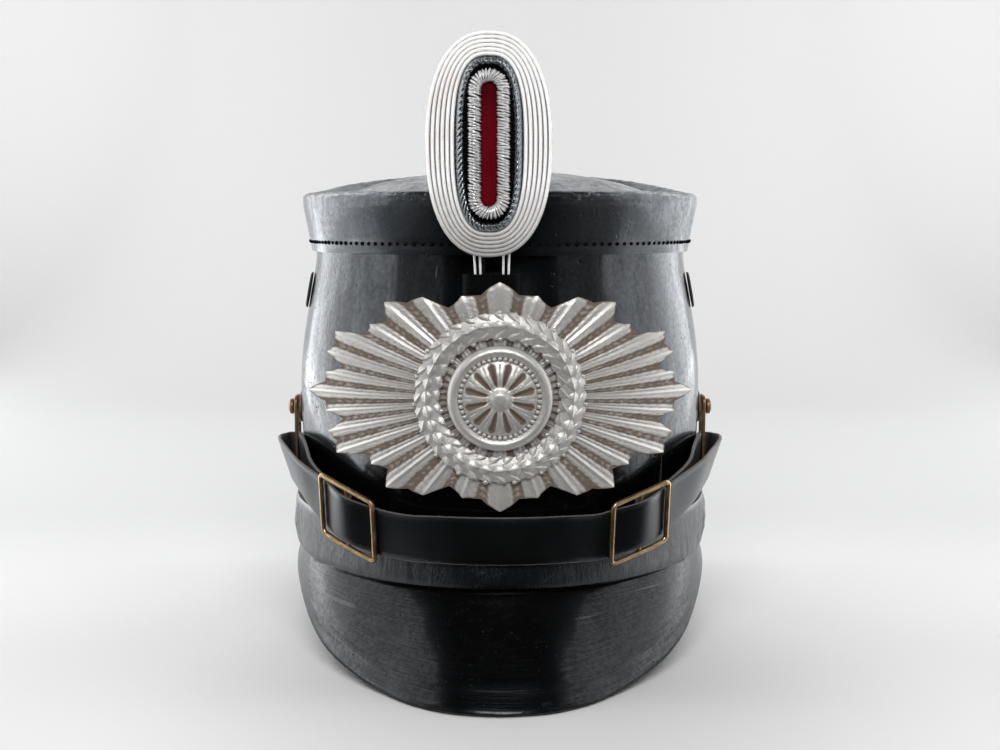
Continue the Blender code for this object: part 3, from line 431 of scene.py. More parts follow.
even = (1.0, 1.0, 1.0)
lacquered = {
    "smearStretch": (1.0, 1.0, 0.55), "brushStretch": (1.0, 1.0, 0.25), "scratchStretch": (1.0, 1.0, 0.05),
    "pitScale": 230.0, "crackScale": 190.0, "crackArea": (0.62, 0.72), "crackTone": (0.035, 0.028, 0.022),
    "scuffTone": (0.075, 0.072, 0.07), "brushDeep": 0.6, "smearDeep": 2.2, "dripScale": 75.0,
    "dripDeep": 0.9,
}
materials = {
    "crown": lacquer("lacquered_leather", {
        **lacquered, "dark": grey(0.0003, 1.1), "light": (0.0012, 0.0012, 0.0013), "gloss": 0.15,
        "smearRough": 0.14, "pitScale": 210.0, "pitSize": 0.17, "grainDeep": 0.4,
        "dripStretch": (1.0, 1.0, 0.16), "hazeScale": 55.0, "hazeStretch": (1.0, 1.0, 0.35),
        "coat": 0.38, "coatRough": 0.10, "specular": 0.30}),
    "cap": lacquer("lacquered_top", {
        **lacquered, "dark": grey(0.0004, 1.075), "light": (0.0014, 0.0014, 0.0015), "gloss": 0.26,
        "smearRough": 0.18, "pitSize": 0.15, "grainDeep": 0.7,
        "dripStretch": (1.0, 1.0, 0.3), "hazeScale": 70.0, "hazeStretch": (1.0, 1.0, 0.45),
        # pale specks on the rim are painted highlights
        "rimGlints": 0.55, "glintTone": (0.32, 0.31, 0.30),
        "coat": 0.60, "coatRough": 0.16, "specular": 0.62}),
    "peak": lacquer("lacquered_peak", {
        **lacquered, "dark": grey(0.0003, 1.1), "light": (0.0011, 0.0011, 0.0012), "gloss": 0.22,
        "smearRough": 0.16, "smearStretch": (0.5, 0.5, 1.4), "strokes": (14.0, 46.0, 1.0),
        "scratchStretch": (0.08, 0.08, 1.6), "pitSize": 0.13, "crackScale": 170.0,
        "crackArea": (0.72, 0.80), "grainDeep": 0.28, "brushDeep": 1.1, "smearDeep": 1.2,
        "dripScale": 60.0, "dripStretch": (0.6, 0.6, 1.0), "dripDeep": 0.4,
        "hazeStretch": (17.0, 95.0, 1.0), "edgeWorn": 0.94, "edgeTone": (0.050, 0.036, 0.026),
        "coat": 0.20, "coatRough": 0.14, "specular": 0.14}),
    "band": plainLeather("band_leather", {
        "dark": (0.0006, 0.0006, 0.0007), "light": (0.0022, 0.0022, 0.0024), "rough": 0.30,
        "creaseScale": 560.0, "creaseStretch": (1.0, 1.0, 0.38), "crackScale": 760.0,
        "crackShow": 0.3, "crackTone": grey(0.0004), "poreDeep": 0.5, "creaseDeep": 1.7,
        "crackDeep": 0.35, "coat": 0.3, "specular": 0.82}),
    "inside": plainLeather("bare_leather", {
        "dark": (0.045, 0.030, 0.020), "light": (0.085, 0.058, 0.038), "rough": 0.7,
        "creaseScale": 300.0, "creaseStretch": even, "crackScale": 200.0,
        "crackShow": 0.1, "crackTone": (0.05, 0.047, 0.045), "poreDeep": 0.6, "creaseDeep": 0.4,
        "crackDeep": 0.2, "coat": 0.0, "specular": 0.4}),
    "trim": plainLeather("trim_leather", {
        "dark": grey(0.0005), "light": grey(0.0015), "rough": 0.5,
        "creaseScale": 600.0, "creaseStretch": even, "crackScale": 500.0,
        "crackShow": 0.2, "crackTone": grey(0.003), "poreDeep": 0.4, "creaseDeep": 0.4,
        "crackDeep": 0.3, "coat": 0.0, "specular": 0.08}),
    "strap": strapLeather("strap_leather", {
        "dark": grey(0.0004, 1.125), "light": (0.0014, 0.0014, 0.0015), "rough": 0.235,
        "flesh": (0.014, 0.011, 0.010), "edge": (0.085, 0.072, 0.062), "specular": 0.9}),
    "whiteMetal": castMetal("white_metal", {
        "metal": (0.50, 0.48, 0.45), "bright": (0.76, 0.745, 0.72), "dirt": (0.115, 0.088, 0.068),
        "rough": 0.36, "metallic": 0.7}),
    "brass": wireMetal("worn_brass", {
        "metal": (0.58, 0.41, 0.21), "tarnish": (0.22, 0.135, 0.075), "rough": 0.27, "metallic": 1.0}),
    "oldBrass": wireMetal("old_brass", {
        "metal": (0.30, 0.20, 0.11), "tarnish": (0.10, 0.062, 0.04), "rough": 0.42, "metallic": 0.9}),
    "steel": wireMetal("wire_steel", {
        "metal": grey(0.92), "tarnish": (0.60, 0.59, 0.58), "rough": 0.28, "metallic": 0.45}),
    "silver": threadFinish("silver_thread", {
        "dark": (0.92, 0.91, 0.90), "light": grey(1.0), "soil": (0.60, 0.47, 0.36), "soilScale": 60.0,
        "soilShow": 0.22, "rough": 0.34, "metallic": 0.3, "specular": 0.6,
        # painted shade tones for the furrows between the rows and for the cords' lower part
        "shadeTone": (0.085, 0.048, 0.042), "lowShade": (0.22, 0.215, 0.21), "lowShadeHeights": (0.180, 0.152)}),
    "bullion": threadFinish("bullion_thread", {
        "dark": (0.66, 0.65, 0.64), "light": grey(1.0), "soil": (0.45, 0.38, 0.34), "soilScale": 90.0,
        "soilShow": 0.25, "rough": 0.17, "metallic": 0.55, "specular": 0.8}),
    "bullionCore": threadFinish("bullion_core", {
        "dark": (0.035, 0.028, 0.030), "light": (0.075, 0.062, 0.064), "soil": (0.03, 0.025, 0.025),
        "soilScale": 90.0, "soilShow": 0.3, "rough": 0.6, "metallic": 0.0, "specular": 0.2}),
    "backing": threadFinish("cockade_cloth", {
        "dark": (0.07, 0.040, 0.034), "light": (0.12, 0.078, 0.066), "soil": (0.05, 0.032, 0.026),
        "soilScale": 80.0, "soilShow": 0.4, "rough": 0.8, "metallic": 0.0, "specular": 0.2}),
    "blackThread": threadFinish("black_thread", {
        "dark": grey(0.0010, 1.1), "light": grey(0.0030, 1.1), "soil": grey(0.006), "soilScale": 200.0,
        "soilShow": 0.1, "rough": 0.19, "metallic": 0.0, "specular": 1.0, "ior": 2.6,
        "tint": (0.90, 0.96, 1.0, 1.0)}),
    "mattThread": threadFinish("matt_thread", {
        "dark": (0.0015, 0.0015, 0.0016), "light": grey(0.004), "soil": (0.01, 0.009, 0.008),
        "soilScale": 200.0, "soilShow": 0.3, "rough": 0.85, "metallic": 0.0, "specular": 0.05}),
    "velvet": velvetFinish("red_velvet", {
        "dark": (0.056, 0.0008, 0.0028), "light": (0.115, 0.0012, 0.0055),
        # painted shade under the bullion at the top
        "shadeTone": (0.020, 0.0006, 0.0015), "shadeToneHeights": (0.2025, 0.209)}),
    "paper": paperFinish("paper", paper),
}
print("materials ready")


# mesh helpers: tables and grids are in millimetres from the crown's middle

def placed(points):
    points = np.asarray(points, float).reshape(-1, 3) * mm
    points[:, 1] += axisY
    return points


def tablePoints(mesh):
    # the other way round: a mesh's vertices in the tables' millimetres
    flat = np.zeros(len(mesh.vertices) * 3)
    mesh.vertices.foreach_get("co", flat)
    flat = flat.reshape(-1, 3) / mm
    flat[:, 1] -= axisY / mm
    return flat


def setFact(mesh, key, values):
    # a number for each vertex, which a material reads by name
    values = np.asarray(values, np.float32).ravel()
    mesh.attributes.new(key, "FLOAT", "POINT").data.foreach_set("value", values)


def allFaces(mesh, kind):
    # which of its piece's materials a mesh takes
    mesh.polygons.foreach_set("material_index", np.full(len(mesh.polygons), kind, np.int32))


def fromMesh(name, mesh, look, sharp=40.0, others=()):
    # others are the materials of faces with index 1 and more
    mesh.name = name
    kinds = np.zeros(len(mesh.polygons), np.int32)
    mesh.polygons.foreach_get("material_index", kinds)
    mesh.materials.clear()
    for each in (look, *others):
        mesh.materials.append(materials[each])
    mesh.polygons.foreach_set("material_index", np.minimum(kinds, len(others)))
    mesh.shade_smooth()
    if sharp:
        mesh.set_sharp_from_angle(angle=math.radians(sharp))
    return linked(name, mesh)


def piece(name, mesh, look, node=None, sharp=40.0, others=()):
    made = fromMesh(name, mesh, look, sharp, others)
    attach(made, "root")
    if node:
        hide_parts(node)


def meshOf(work, mesh=None):
    mesh = mesh or bpy.data.meshes.new("shape")
    work.to_mesh(mesh)
    work.free()
    return mesh


def joined(meshes, merge=1e-6, into=None):
    # one mesh with its faces outward
    work = bmesh.new()
    for mesh in meshes:
        work.from_mesh(mesh)
    if merge:
        bmesh.ops.remove_doubles(work, verts=work.verts, dist=merge)
    bmesh.ops.recalc_face_normals(work, faces=work.faces)
    return meshOf(work, into)


def outward(mesh, merge=1e-6):
    joined([mesh], merge, mesh)


def plainMesh(made):
    # what a curve or the modifiers make, as a mesh; the object goes
    bpy.context.view_layer.update()
    mesh = bpy.data.meshes.new_from_object(made.evaluated_get(bpy.context.evaluated_depsgraph_get()))
    bpy.data.objects.remove(made, do_unlink=True)
    return mesh


def gridMesh(grid, wrapAcross=False, wrapUp=False, poles=(), caps=False, facts=None):
    # rows by columns by 3; a pole closes a row to a point, caps close both end columns
    grid = np.asarray(grid)
    rows, columns = grid.shape[:2]
    up, across = rows - (not wrapUp), columns - (not wrapAcross)
    points = list(map(tuple, placed(grid)))
    faces, uvs = [], []
    for i in range(up):
        for j in range(across):
            ring = ((i, j), (i, j + 1), (i + 1, j + 1), (i + 1, j))
            faces.append([(a % rows) * columns + b % columns for a, b in ring])
            uvs += [(b / across, a / up) for a, b in ring]
    for row, point in poles:
        points.append(tuple(placed(point)[0]))
        for j in range(across):
            faces.append([row % rows * columns + j, row % rows * columns + (j + 1) % columns,
                          len(points) - 1])
            uvs += [(j / across, row / up), ((j + 1) / across, row / up), (j / across, row / up)]
    if caps:
        for j in (0, columns - 1):
            faces.append([i * columns + j for i in range(rows)])
            uvs += [(j / across, i / up) for i in range(rows)]
    mesh = bpy.data.meshes.new("grid")
    mesh.from_pydata(points, [], faces)
    layer = mesh.uv_layers.new(name="surface")
    layer.data.foreach_set("uv", np.array(uvs, np.float32).ravel())
    for key, values in (facts or {}).items():
        setFact(mesh, key, np.append(np.ravel(values), np.zeros(len(poles))))
    outward(mesh, 1e-7)
    return mesh


def smoothRead(rows, column, at):
    # a table's column at places in its first column, on a smooth line through the rows
    places = np.array([row[0] for row in rows], float)
    values = np.array([row[column] for row in rows], float)
    at = np.clip(np.asarray(at, float), places[0], places[-1])
    k = np.clip(np.searchsorted(places, at, side="right") - 1, 0, len(rows) - 2)
    before = np.maximum(np.arange(len(rows)) - 1, 0)
    after = np.minimum(np.arange(len(rows)) + 1, len(rows) - 1)
    slope = (values[after] - values[before]) / (places[after] - places[before])
    span = places[k + 1] - places[k]
    t = (at - places[k]) / span
    return ((2 * t**3 - 3 * t**2 + 1) * values[k] + (t**3 - 2 * t**2 + t) * span * slope[k]
            + (3 * t**2 - 2 * t**3) * values[k + 1] + (t**3 - t**2) * span * slope[k + 1])


def bumpy(points, size, seed=0.0):
    # one soft random number from -1 to 1 for each point; size is that of a lump
    flat = points.reshape(-1, 3) / size + seed
    return np.array([noise.noise(Vector(p)) for p in flat]).reshape(points.shape[:-1])


def bell(value, middle, spread):
    return np.exp(-((value - middle) / spread) ** 2)


def share(value, start, end):
    # 0 at start, 1 at end, straight between
    return np.clip((value - start) / (end - start), 0.0, 1.0)


def zigzag(value):
    # 1 at whole numbers, 0 halfway
    return np.abs(value % 1.0 - 0.5) * 2.0


def unit(vector):
    return vector / np.linalg.norm(vector, axis=-1, keepdims=True)


def ringAngles(count):
    return np.arange(count) * 360.0 / count


def ringTurns(count):
    return np.arange(count) * math.tau / count


def ovalGrid(halfWidths, halfLengths, heights, angles, lift=0.0):
    # level ovals, one for each height, moved out along their own normals
    turn = np.radians(angles)
    across, along = np.sin(turn), -np.cos(turn)
    nx, ny = across / halfWidths, along / halfLengths
    size = np.hypot(nx, ny)
    nx, ny = nx / size, ny / size
    x, y = halfWidths * across + lift * nx, halfLengths * along + lift * ny
    normals = np.stack([nx, ny, np.zeros_like(nx)], -1)
    return np.stack([x, y, heights + np.zeros_like(x)], -1), normals


crownRings = [                              # height, half width, half length
    (34.0, 80.2, 96.6), (44.0, 80.2, 96.6), (58.0, 80.6, 97.0), (78.0, 81.8, 98.0),
    (100.0, 82.3, 98.4), (116.0, 81.1, 97.2), (134.0, 78.3, 94.4), (152.0, 75.3, 91.3),
    (162.0, 76.6, 92.2), (172.0, 78.1, 93.4)]
backRise = {"slope": 0.135, "start": -15.0, "soft": 55.0, "heights": (112.0, 154.0)}


def skin(angles, heights, lift=0.0):
    # points on the crown and their normals; angles count from the front towards the right
    heights = np.asarray(heights, float)
    return ovalGrid(smoothRead(crownRings, 1, heights), smoothRead(crownRings, 2, heights),
                    heights, angles, lift)


def skinAt(angle, height, lift=0.0):
    return tuple(found.reshape(3) for found in skin(angle, height, lift))


def crownFront(x, height):
    halfWidth, halfLength = (float(smoothRead(crownRings, c, height)) for c in (1, 2))
    return -halfLength * math.sqrt(1.0 - (x / halfWidth) ** 2)


def raised(points):
    # the crown's upper part slopes upwards towards the back
    points = np.array(points, float)
    behind, soft = np.maximum(points[..., 1] - backRise["start"], 0.0), backRise["soft"]
    rise = backRise["slope"] * np.where(behind < soft, behind**2 / (2.0 * soft), behind - soft / 2.0)
    upper = share(points[..., 2], *backRise["heights"])
    points[..., 2] += rise * upper**2 * (3.0 - 2.0 * upper)
    return points


# crown

crown = {"wall": 2.5, "around": 200, "rows": 74, "heights": (34.0, 172.0), "calmFrom": (158.0, 146.0),
         "dent": 0.26, "dentSize": 34.0, "ripple": 0.05, "rippleSize": 6.0}


def makeCrown():
    look, angles = crown, ringAngles(crown["around"])[None, :]
    heights = np.linspace(*look["heights"], look["rows"])[:, None]
    outer, normals = skin(angles, heights)
    dents = (bumpy(outer, look["dentSize"], 3.0) - 0.5) * look["dent"]
    ripples = bumpy(outer, look["rippleSize"], 8.0) * look["ripple"]
    outer = outer + normals * ((dents + ripples) * share(heights, *look["calmFrom"]))[..., None]
    inner, _ = skin(angles, heights[::3][::-1], -look["wall"])
    mesh = gridMesh(raised(np.concatenate([outer, inner])), True, True)
    for face in mesh.polygons:
        if face.normal.x * face.center.x + face.normal.y * (face.center.y - axisY) < 0.0:
            face.material_index = 1
    piece("crown_body_shell", mesh, "crown", "crown_body", others=["inside"])


# top

topRings = [                                # half width, half length, height
    (77.1, 93.1, 153.9), (78.8, 94.4, 163.0), (80.1, 95.4, 170.0), (80.4, 95.7, 172.4),
    (80.5, 95.8, 174.6), (80.0, 95.3, 175.7), (78.9, 94.2, 176.5), (76.4, 91.7, 176.7),
    (73.6, 88.8, 175.2), (71.2, 86.3, 173.9), (67.0, 81.5, 174.4), (60.0, 73.5, 177.3),
    (51.0, 62.5, 180.4), (43.0, 53.0, 182.2), (31.0, 38.0, 184.2), (21.0, 26.0, 185.2),
    (6.0, 7.5, 185.9)]
top = {"wall": 1.5, "around": 240, "apex": 186.0, "grooveDeep": 0.15, "grooveWide": 0.6,
       "rows": ((0, 3, 25), (3, 9, 25), (9, 16, 33)),      # from ring to ring, in how many steps
       "dent": 0.25, "dentSize": 26.0, "dentBelow": 176.0, "sag": 0.35, "sagSize": 30.0, "sagWithin": 78.0,
       "crinkle": 0.42, "crinkleSizes": (2.6, 3.2), "rollAt": 175.5, "rollSpread": 2.0, "rollOutside": 74.0,
       # where the rim's painted highlights lie
       "wallFrom": (70.0, 78.0), "wallAbove": 172.0, "glintBandAt": 79.9, "glintBandSpread": 0.5, "glintBandAbove": 173.0}
stitching = {"every": 3.55, "long": 1.0, "thick": 0.85, "height": 157.7, "lift": -0.32, "slant": 0.08}


def makeTop():
    look, angles = top, ringAngles(top["around"])[None, :]
    rings = [(k, *ring) for k, ring in enumerate(topRings)]
    steps = [np.linspace(a, b, count, endpoint=False) for a, b, count in look["rows"]]
    steps = np.append(np.concatenate(steps), len(topRings) - 1)
    halfWidth, halfLength, height = (smoothRead(rings, c, steps)[:, None] for c in (1, 2, 3))
    outer, normals = ovalGrid(halfWidth, halfLength, height, angles)
    rolled = bell(height, look["rollAt"], look["rollSpread"]) * (halfWidth > look["rollOutside"])
    groove = bell(height, stitching["height"], look["grooveWide"]) * look["grooveDeep"]
    dents = bumpy(outer, look["dentSize"], 5.0) * look["dent"] * (height < look["dentBelow"])
    crinkles = bumpy(outer * (1.0, 1.0, 2.0), look["crinkleSizes"][0], 2.0) * look["crinkle"] * rolled
    outer = outer + normals * (dents - groove + crinkles)[..., None]
    outer[..., 2] += (bumpy(outer, look["crinkleSizes"][1], 9.0) * look["crinkle"] * rolled
                      + bumpy(outer, look["sagSize"], 1.0) * look["sag"] * (halfWidth < look["sagWithin"]))
    wide, long, high = halfWidth[::2], halfLength[::2], height[::2]
    drop = look["wall"] * share(wide, *look["wallFrom"])
    inner, _ = ovalGrid(wide - drop, long - drop, high - look["wall"] * (high > look["wallAbove"]), angles)
    grid = raised(np.concatenate([inner[::-1], outer]))
    # painted highlights: the band round the upper rim where pale glints are painted; the rim's crinkle bump
    # uses it too
    glintBand = np.zeros(grid.shape[:2])
    glintBand[len(inner):] = bell(halfWidth, look["glintBandAt"], look["glintBandSpread"]) * (height > look["glintBandAbove"])
    under, crest = raised([(0.0, 0.0, look["apex"] - look["wall"]), (0.0, 0.0, look["apex"])])
    mesh = gridMesh(grid, True, facts={"rim": glintBand}, poles=[(0, under), (len(grid) - 1, crest)])
    piece("crown_top_shell", mesh, "cap", "crown_top", 60.0)


# things that repeat along lines

def graph(name, inputs):
    # a geometry tree with named inputs; a whole number makes a count, any other a size
    group = bpy.data.node_groups.new(name, "GeometryNodeTree")
    group.interface.new_socket("Geometry", in_out="INPUT", socket_type="NodeSocketGeometry")
    for label, value in inputs.items():
        kind = {int: "Int", float: "Float"}.get(type(value), "Object")
        made = group.interface.new_socket(label, in_out="INPUT", socket_type="NodeSocket" + kind)
        if kind != "Object":
            made.default_value = value
    group.interface.new_socket("Geometry", in_out="OUTPUT", socket_type="NodeSocketGeometry")
    source = group.nodes.new("NodeGroupInput")
    tree = Tree(group)
    return tree, {out.name: Sock(tree, out) for out in source.outputs if out.name}


def evenCurve(tree, geometry, step):
    curve = tree.node("GeometryNodeMeshToCurve", {}, {"Mesh": geometry})
    return tree.node("GeometryNodeResampleCurve", {"mode": "LENGTH"}, {"Curve": curve, "Length": step})


def closeGraph(tree, geometry, look):
    smooth = tree.node("GeometryNodeSetShadeSmooth", {}, {"Geometry": geometry})
    real = tree.node("GeometryNodeRealizeInstances", {}, {"Geometry": smooth})
    last = tree.node("GeometryNodeSetMaterial", {}, {"Geometry": real, "Material": materials[look]})
    tree.fill(tree.tree.nodes.new("NodeGroupOutput"), [last])
    return tree


def lineObject(lines):
    # a mesh of bare edges in closed loops, that a tree turns into curves
    points, edges = [], []
    for line in lines:
        start, count = len(points), len(line)
        points += list(map(tuple, placed(line)))
        edges += [(start + i, start + (i + 1) % count) for i in range(count)]
    mesh = bpy.data.meshes.new("line")
    mesh.from_pydata(points, edges, [])
    return linked("line", mesh)


def grown(lines, tree, values):
    # what the tree makes of the lines, as a plain mesh
    base = lineObject(lines)
    modifier = base.modifiers.new("grow", "NODES")
    modifier.node_group = tree.tree
    for item in tree.tree.interface.items_tree:
        if item.item_type == "SOCKET" and item.in_out == "INPUT" and item.name in values:
            modifier[item.identifier] = values[item.name]
    mesh = plainMesh(base)
    allFaces(mesh, 0)
    return mesh


def pliedTree(strands, look):
    # strands laid round a line, like a cord
    tree, given = graph("plied_cord", {"Step": 0.3 * mm, "Pitch": 2.0 * mm, "Twist Radius": 0.4 * mm,
                                       "Strand Radius": 0.4 * mm, "Sides": 6})
    curve = evenCurve(tree, given["Geometry"], given["Step"])
    along = tree.node("GeometryNodeSplineParameter", {}, {}, "Factor")
    whole = tree.node("GeometryNodeSplineLength", {}, {}, "Length")
    turns = tree.maths("ROUND", whole / given["Pitch"])
    side = tree.vector("CROSS_PRODUCT", tree.node("GeometryNodeInputTangent"), towardsViewer)
    circle = tree.node("GeometryNodeCurvePrimitiveCircle", {},
                       {"Resolution": given["Sides"], "Radius": given["Strand Radius"]})
    tubes = tree.tree.nodes.new("GeometryNodeJoinGeometry")
    for strand in range(strands):
        turn = along * turns * math.tau + math.tau * strand / strands
        offsets = [tree.scaled(way, tree.maths(wave, turn) * given["Twist Radius"])
                   for way, wave in ((side, "COSINE"), (towardsViewer, "SINE"))]
        moved = tree.node("GeometryNodeSetPosition", {},
                          {"Geometry": curve, "Offset": tree.vector("ADD", *offsets)})
        tree.fill(tubes, [tree.node("GeometryNodeCurveToMesh", {},
                                    {"Curve": moved, "Profile Curve": circle})])
    return closeGraph(tree, Sock(tree, tubes.outputs[0]), look)


def studdedTree(name, look, facing=None, slant=0.0, wobble=0.08, mirrored=False):
    # copies of a small piece at even steps along lines, X along the line and Z away from the work
    tree, given = graph(name, {"Every": 2.0 * mm, "Piece": None, "Seed": 1, "Least": 0.9, "Most": 1.1})
    curve = evenCurve(tree, given["Geometry"], given["Every"])
    tangent = tree.node("GeometryNodeInputTangent")
    where = tree.node("GeometryNodeInputPosition")
    if facing is None:
        facing = tree.vector("MULTIPLY", tree.vector("SUBTRACT", where, (0.0, axisY, 0.0)), (1.0, 1.0, 0.0))
    if mirrored:
        tangent = tree.scaled(tangent, tree.maths("SIGN", tree.part(where, 0)))
    turn = tree.node("FunctionNodeAlignRotationToVector", {"axis": "X"}, {"Vector": tangent})
    turn = tree.node("FunctionNodeAlignRotationToVector", {"axis": "Z", "pivot_axis": "X"},
                     {"Rotation": turn, "Vector": facing})
    sway, size = (tree.node("FunctionNodeRandomValue", {"data_type": "FLOAT"},
                            {2: least, 3: most, "Seed": given["Seed"]}, 1)
                  for least, most in ((-wobble, wobble), (given["Least"], given["Most"])))
    spin = tree.node("FunctionNodeEulerToRotation", {},
                     [tree.node("ShaderNodeCombineXYZ", {}, {"Z": sway + slant})])
    turn = tree.node("FunctionNodeRotateRotation", {"rotation_space": "LOCAL"},
                     {"Rotation": turn, "Rotate By": spin})
    seed = tree.node("GeometryNodeObjectInfo", {}, {"Object": given["Piece"]}, "Geometry")
    copies = tree.node("GeometryNodeInstanceOnPoints", {},
                       {"Points": curve, "Instance": seed, "Rotation": turn, "Scale": size})
    return closeGraph(tree, copies, look)


def studded(name, line, build, look, every, seed, sizes, **tree):
    # build makes the seed shape, which is never shown itself
    work = bmesh.new()
    build(work)
    shape = linked("seed", meshOf(work))
    mesh = grown([line], studdedTree(name, look, **tree),
                 {"Every": every * mm, "Piece": shape, "Seed": seed, "Least": sizes[0], "Most": sizes[1]})
    bpy.data.objects.remove(shape, do_unlink=True)
    return mesh


def makeStitching():
    look = stitching
    rings = [(height, halfWidth, halfLength) for halfWidth, halfLength, height in topRings[:4]]
    halfWidth, halfLength = (smoothRead(rings, c, look["height"]) for c in (1, 2))
    line, _ = ovalGrid(halfWidth, halfLength, look["height"], ringAngles(360), look["lift"])

    def stitch(work):
        bmesh.ops.create_uvsphere(work, u_segments=8, v_segments=5, radius=mm)
        bmesh.ops.scale(work, verts=work.verts, vec=(look["long"], look["thick"], look["thick"]))

    mesh = studded("stitch_row", raised(line), stitch, "mattThread", look["every"], 4, (0.9, 1.1),
                   slant=look["slant"])
    piece("top_stitches", mesh, "mattThread", sharp=0.0)


# peaks

peakShape = {"wall": 2.0, "gap": 0.3, "tuckTop": 46.0, "seam": 34.2, "rows": 26, "across": 181,
             "swell": 1.1, "fullReach": 20.0, "ridge": 0.35, "ridgeAt": 0.80, "ridgeWide": 0.025,
             "ridgeReach": 25.0, "seamMitre": 1.08, "noseTurns": (35.0, 70.0, 110.0, 145.0), "nose": 0.55,
             "dent": 0.35, "dentSize": 22.0, "ripple": 0.05, "rippleSize": 5.0, "calmBelow": 3.0}
frontPeak = [                               # angle, reach, height of the edge
    (0.0, 37.0, 0.0), (8.0, 35.1, 0.0), (15.0, 29.8, 0.1), (22.0, 23.2, 0.9), (30.0, 17.8, 2.8),
    (38.0, 13.9, 5.6), (46.0, 10.5, 9.2), (54.0, 7.2, 13.2), (62.0, 4.6, 17.2), (70.0, 3.0, 21.0),
    (80.0, 2.3, 25.5), (89.5, 2.2, 29.0)]
rearPeak = [(0.0, 21.0, 0.0), (22.0, 20.0, 0.0), (38.0, 14.5, 2.4), (54.0, 8.4, 9.6),
            (70.0, 3.6, 19.2), (89.5, 2.2, 29.0)]


def peakSection(reach, edge):
    # the peak's cut: distance off the crown and height, once round, from the strip's top inside
    look = peakShape
    down = np.linspace(0.0, 1.0, look["rows"])
    swell = look["swell"] * np.sin(np.pi * down) * min(reach / look["fullReach"], 1.0)
    off = np.append(look["gap"], look["gap"] + reach * down + swell)
    high = np.append(look["tuckTop"], look["seam"] + (edge - look["seam"]) * down + swell)
    line = np.stack([off, high], -1)
    run = unit(np.gradient(line, axis=0))
    normal = np.stack([-run[:, 1], run[:, 0]], -1)
    normal[normal[:, 0] < 0] *= -1
    thick = np.full(len(line), look["wall"])
    thick[1] *= look["seamMitre"]
    thick[1:] += look["ridge"] * bell(down, look["ridgeAt"], look["ridgeWide"]) * min(
        reach / look["ridgeReach"], 1.0)
    outer = line + normal * thick[:, None]
    middle, arm = (line[-1] + outer[-1]) / 2, (outer[-1] - line[-1]) / 2
    swing = np.radians(look["noseTurns"])[:, None]
    nose = middle - arm * np.cos(swing) + run[-1] * np.sin(swing) * look["nose"]
    return np.concatenate([line, nose, outer[::-1]])


def makePeak(name, stations, facing, node):
    look, last = peakShape, stations[-1][0]
    columns = []
    for turn in np.linspace(-last, last, look["across"]):
        reach, edge = (float(smoothRead(stations, c, abs(turn))) for c in (1, 2))
        cut = peakSection(reach, max(edge, 0.0))
        base, normal = skinAt(turn + facing, look["seam"])
        points = base + normal * cut[:, :1]
        points[:, 2] = np.maximum(cut[:, 1], 0.0)
        columns.append(points)
    grid = np.array(columns).transpose(1, 0, 2)
    lumps = (bumpy(grid, look["dentSize"], 4.0) * look["dent"]
             + bumpy(grid, look["rippleSize"], 2.0) * look["ripple"])
    outside = (np.arange(len(grid)) >= len(grid) // 2)[:, None]
    grid[..., 2] += lumps * np.minimum(grid[..., 2] / look["calmBelow"], 1.0) * outside
    mesh = gridMesh(grid, wrapUp=True, caps=True)
    # V runs 0 to 1 over inside, nose and outside: measured again so that 1 is the cut edge
    layer = mesh.uv_layers["surface"].data
    values = np.zeros(len(layer) * 2, np.float32)
    layer.foreach_get("uv", values)
    noseAt = (look["rows"] + 1.5) / len(grid) + 0.02
    values[1::2] = 1.0 - np.abs(values[1::2] - noseAt) / 0.46
    layer.foreach_set("uv", values)
    piece(name, mesh, "peak", node, 50.0)


# band round the foot

band = {"heights": (35.2, 55.0), "lift": 2.6, "wall": 1.5, "around": 420, "rows": 26, "edge": 0.55,
        "bulge": 1.3, "bulgeAt": 45.0, "bulgeTall": 5.0, "bulgeSpread": 14.0, "bulgeWave": 0.35,
        "wrinkle": 0.26, "crinkle": 0.15,   # all over; fold and wave are at the ears
        "earFold": 0.60, "foldFlat": 8.0, "foldSpread": 14.0, "earWave": 0.85, "waveSpread": 13.0,
        "wrinkledEar": 1.2, "wrinkledSpread": 18.0}


def makeBand():
    look, angles = band, ringAngles(band["around"])[None, :]
    up = np.linspace(0.0, 1.0, look["rows"])[:, None]
    low, high = look["heights"]
    heights = low + (high - low) * up
    plain, normals = skin(angles, heights)
    fromEar = np.abs(np.abs((angles + 180.0) % 360.0 - 180.0) - 90.0)
    bulge = (look["bulge"] * bell(fromEar, 0.0, look["bulgeSpread"])
             * bell(heights, look["bulgeAt"], look["bulgeTall"])
             * (1.0 + look["bulgeWave"] * np.cos(np.radians(30.0 * fromEar))))
    wrinkles = (bumpy(plain * (1.0, 1.0, 0.35), 3.4, 6.0) * look["wrinkle"]
                + bumpy(plain * (1.0, 1.0, 0.5), 1.3, 1.0) * look["crinkle"])
    wrinkles *= (0.35 + 0.65 * np.clip(1.0 - up * 1.5, 0.0, 1.0)
                 + look["wrinkledEar"] * bell(fromEar, 0.0, look["wrinkledSpread"]))
    slack = bell(np.maximum(fromEar - look["foldFlat"], 0.0), 0.0, look["foldSpread"])
    folds = (1.0 - np.abs(bumpy(plain * (1.0, 1.0, 0.16), 2.6, 3.0)) * 2.0) * slack * look["earFold"]
    waves = (bumpy(plain * (1.0, 1.0, 1.3), 6.5, 8.0) * look["earWave"]
             * bell(fromEar, 0.0, look["waveSpread"]))
    toEdge = np.abs(up * 2.0 - 1.0)
    out = (look["lift"] + look["wall"] + bulge + (wrinkles + folds + waves) * (1.0 - 0.85 * toEdge**4)
           - look["edge"] * toEdge**10)
    outer = plain + normals * out[..., None]
    inner = plain + normals * (look["lift"] + bulge * 0.9)[..., None]
    mesh = gridMesh(np.concatenate([outer, inner[::-1]]), True, True)
    piece("base_band_leather", mesh, "band", "base_band")


# chin strap and its sliders; a station is an angle, height, lift off the crown and lean

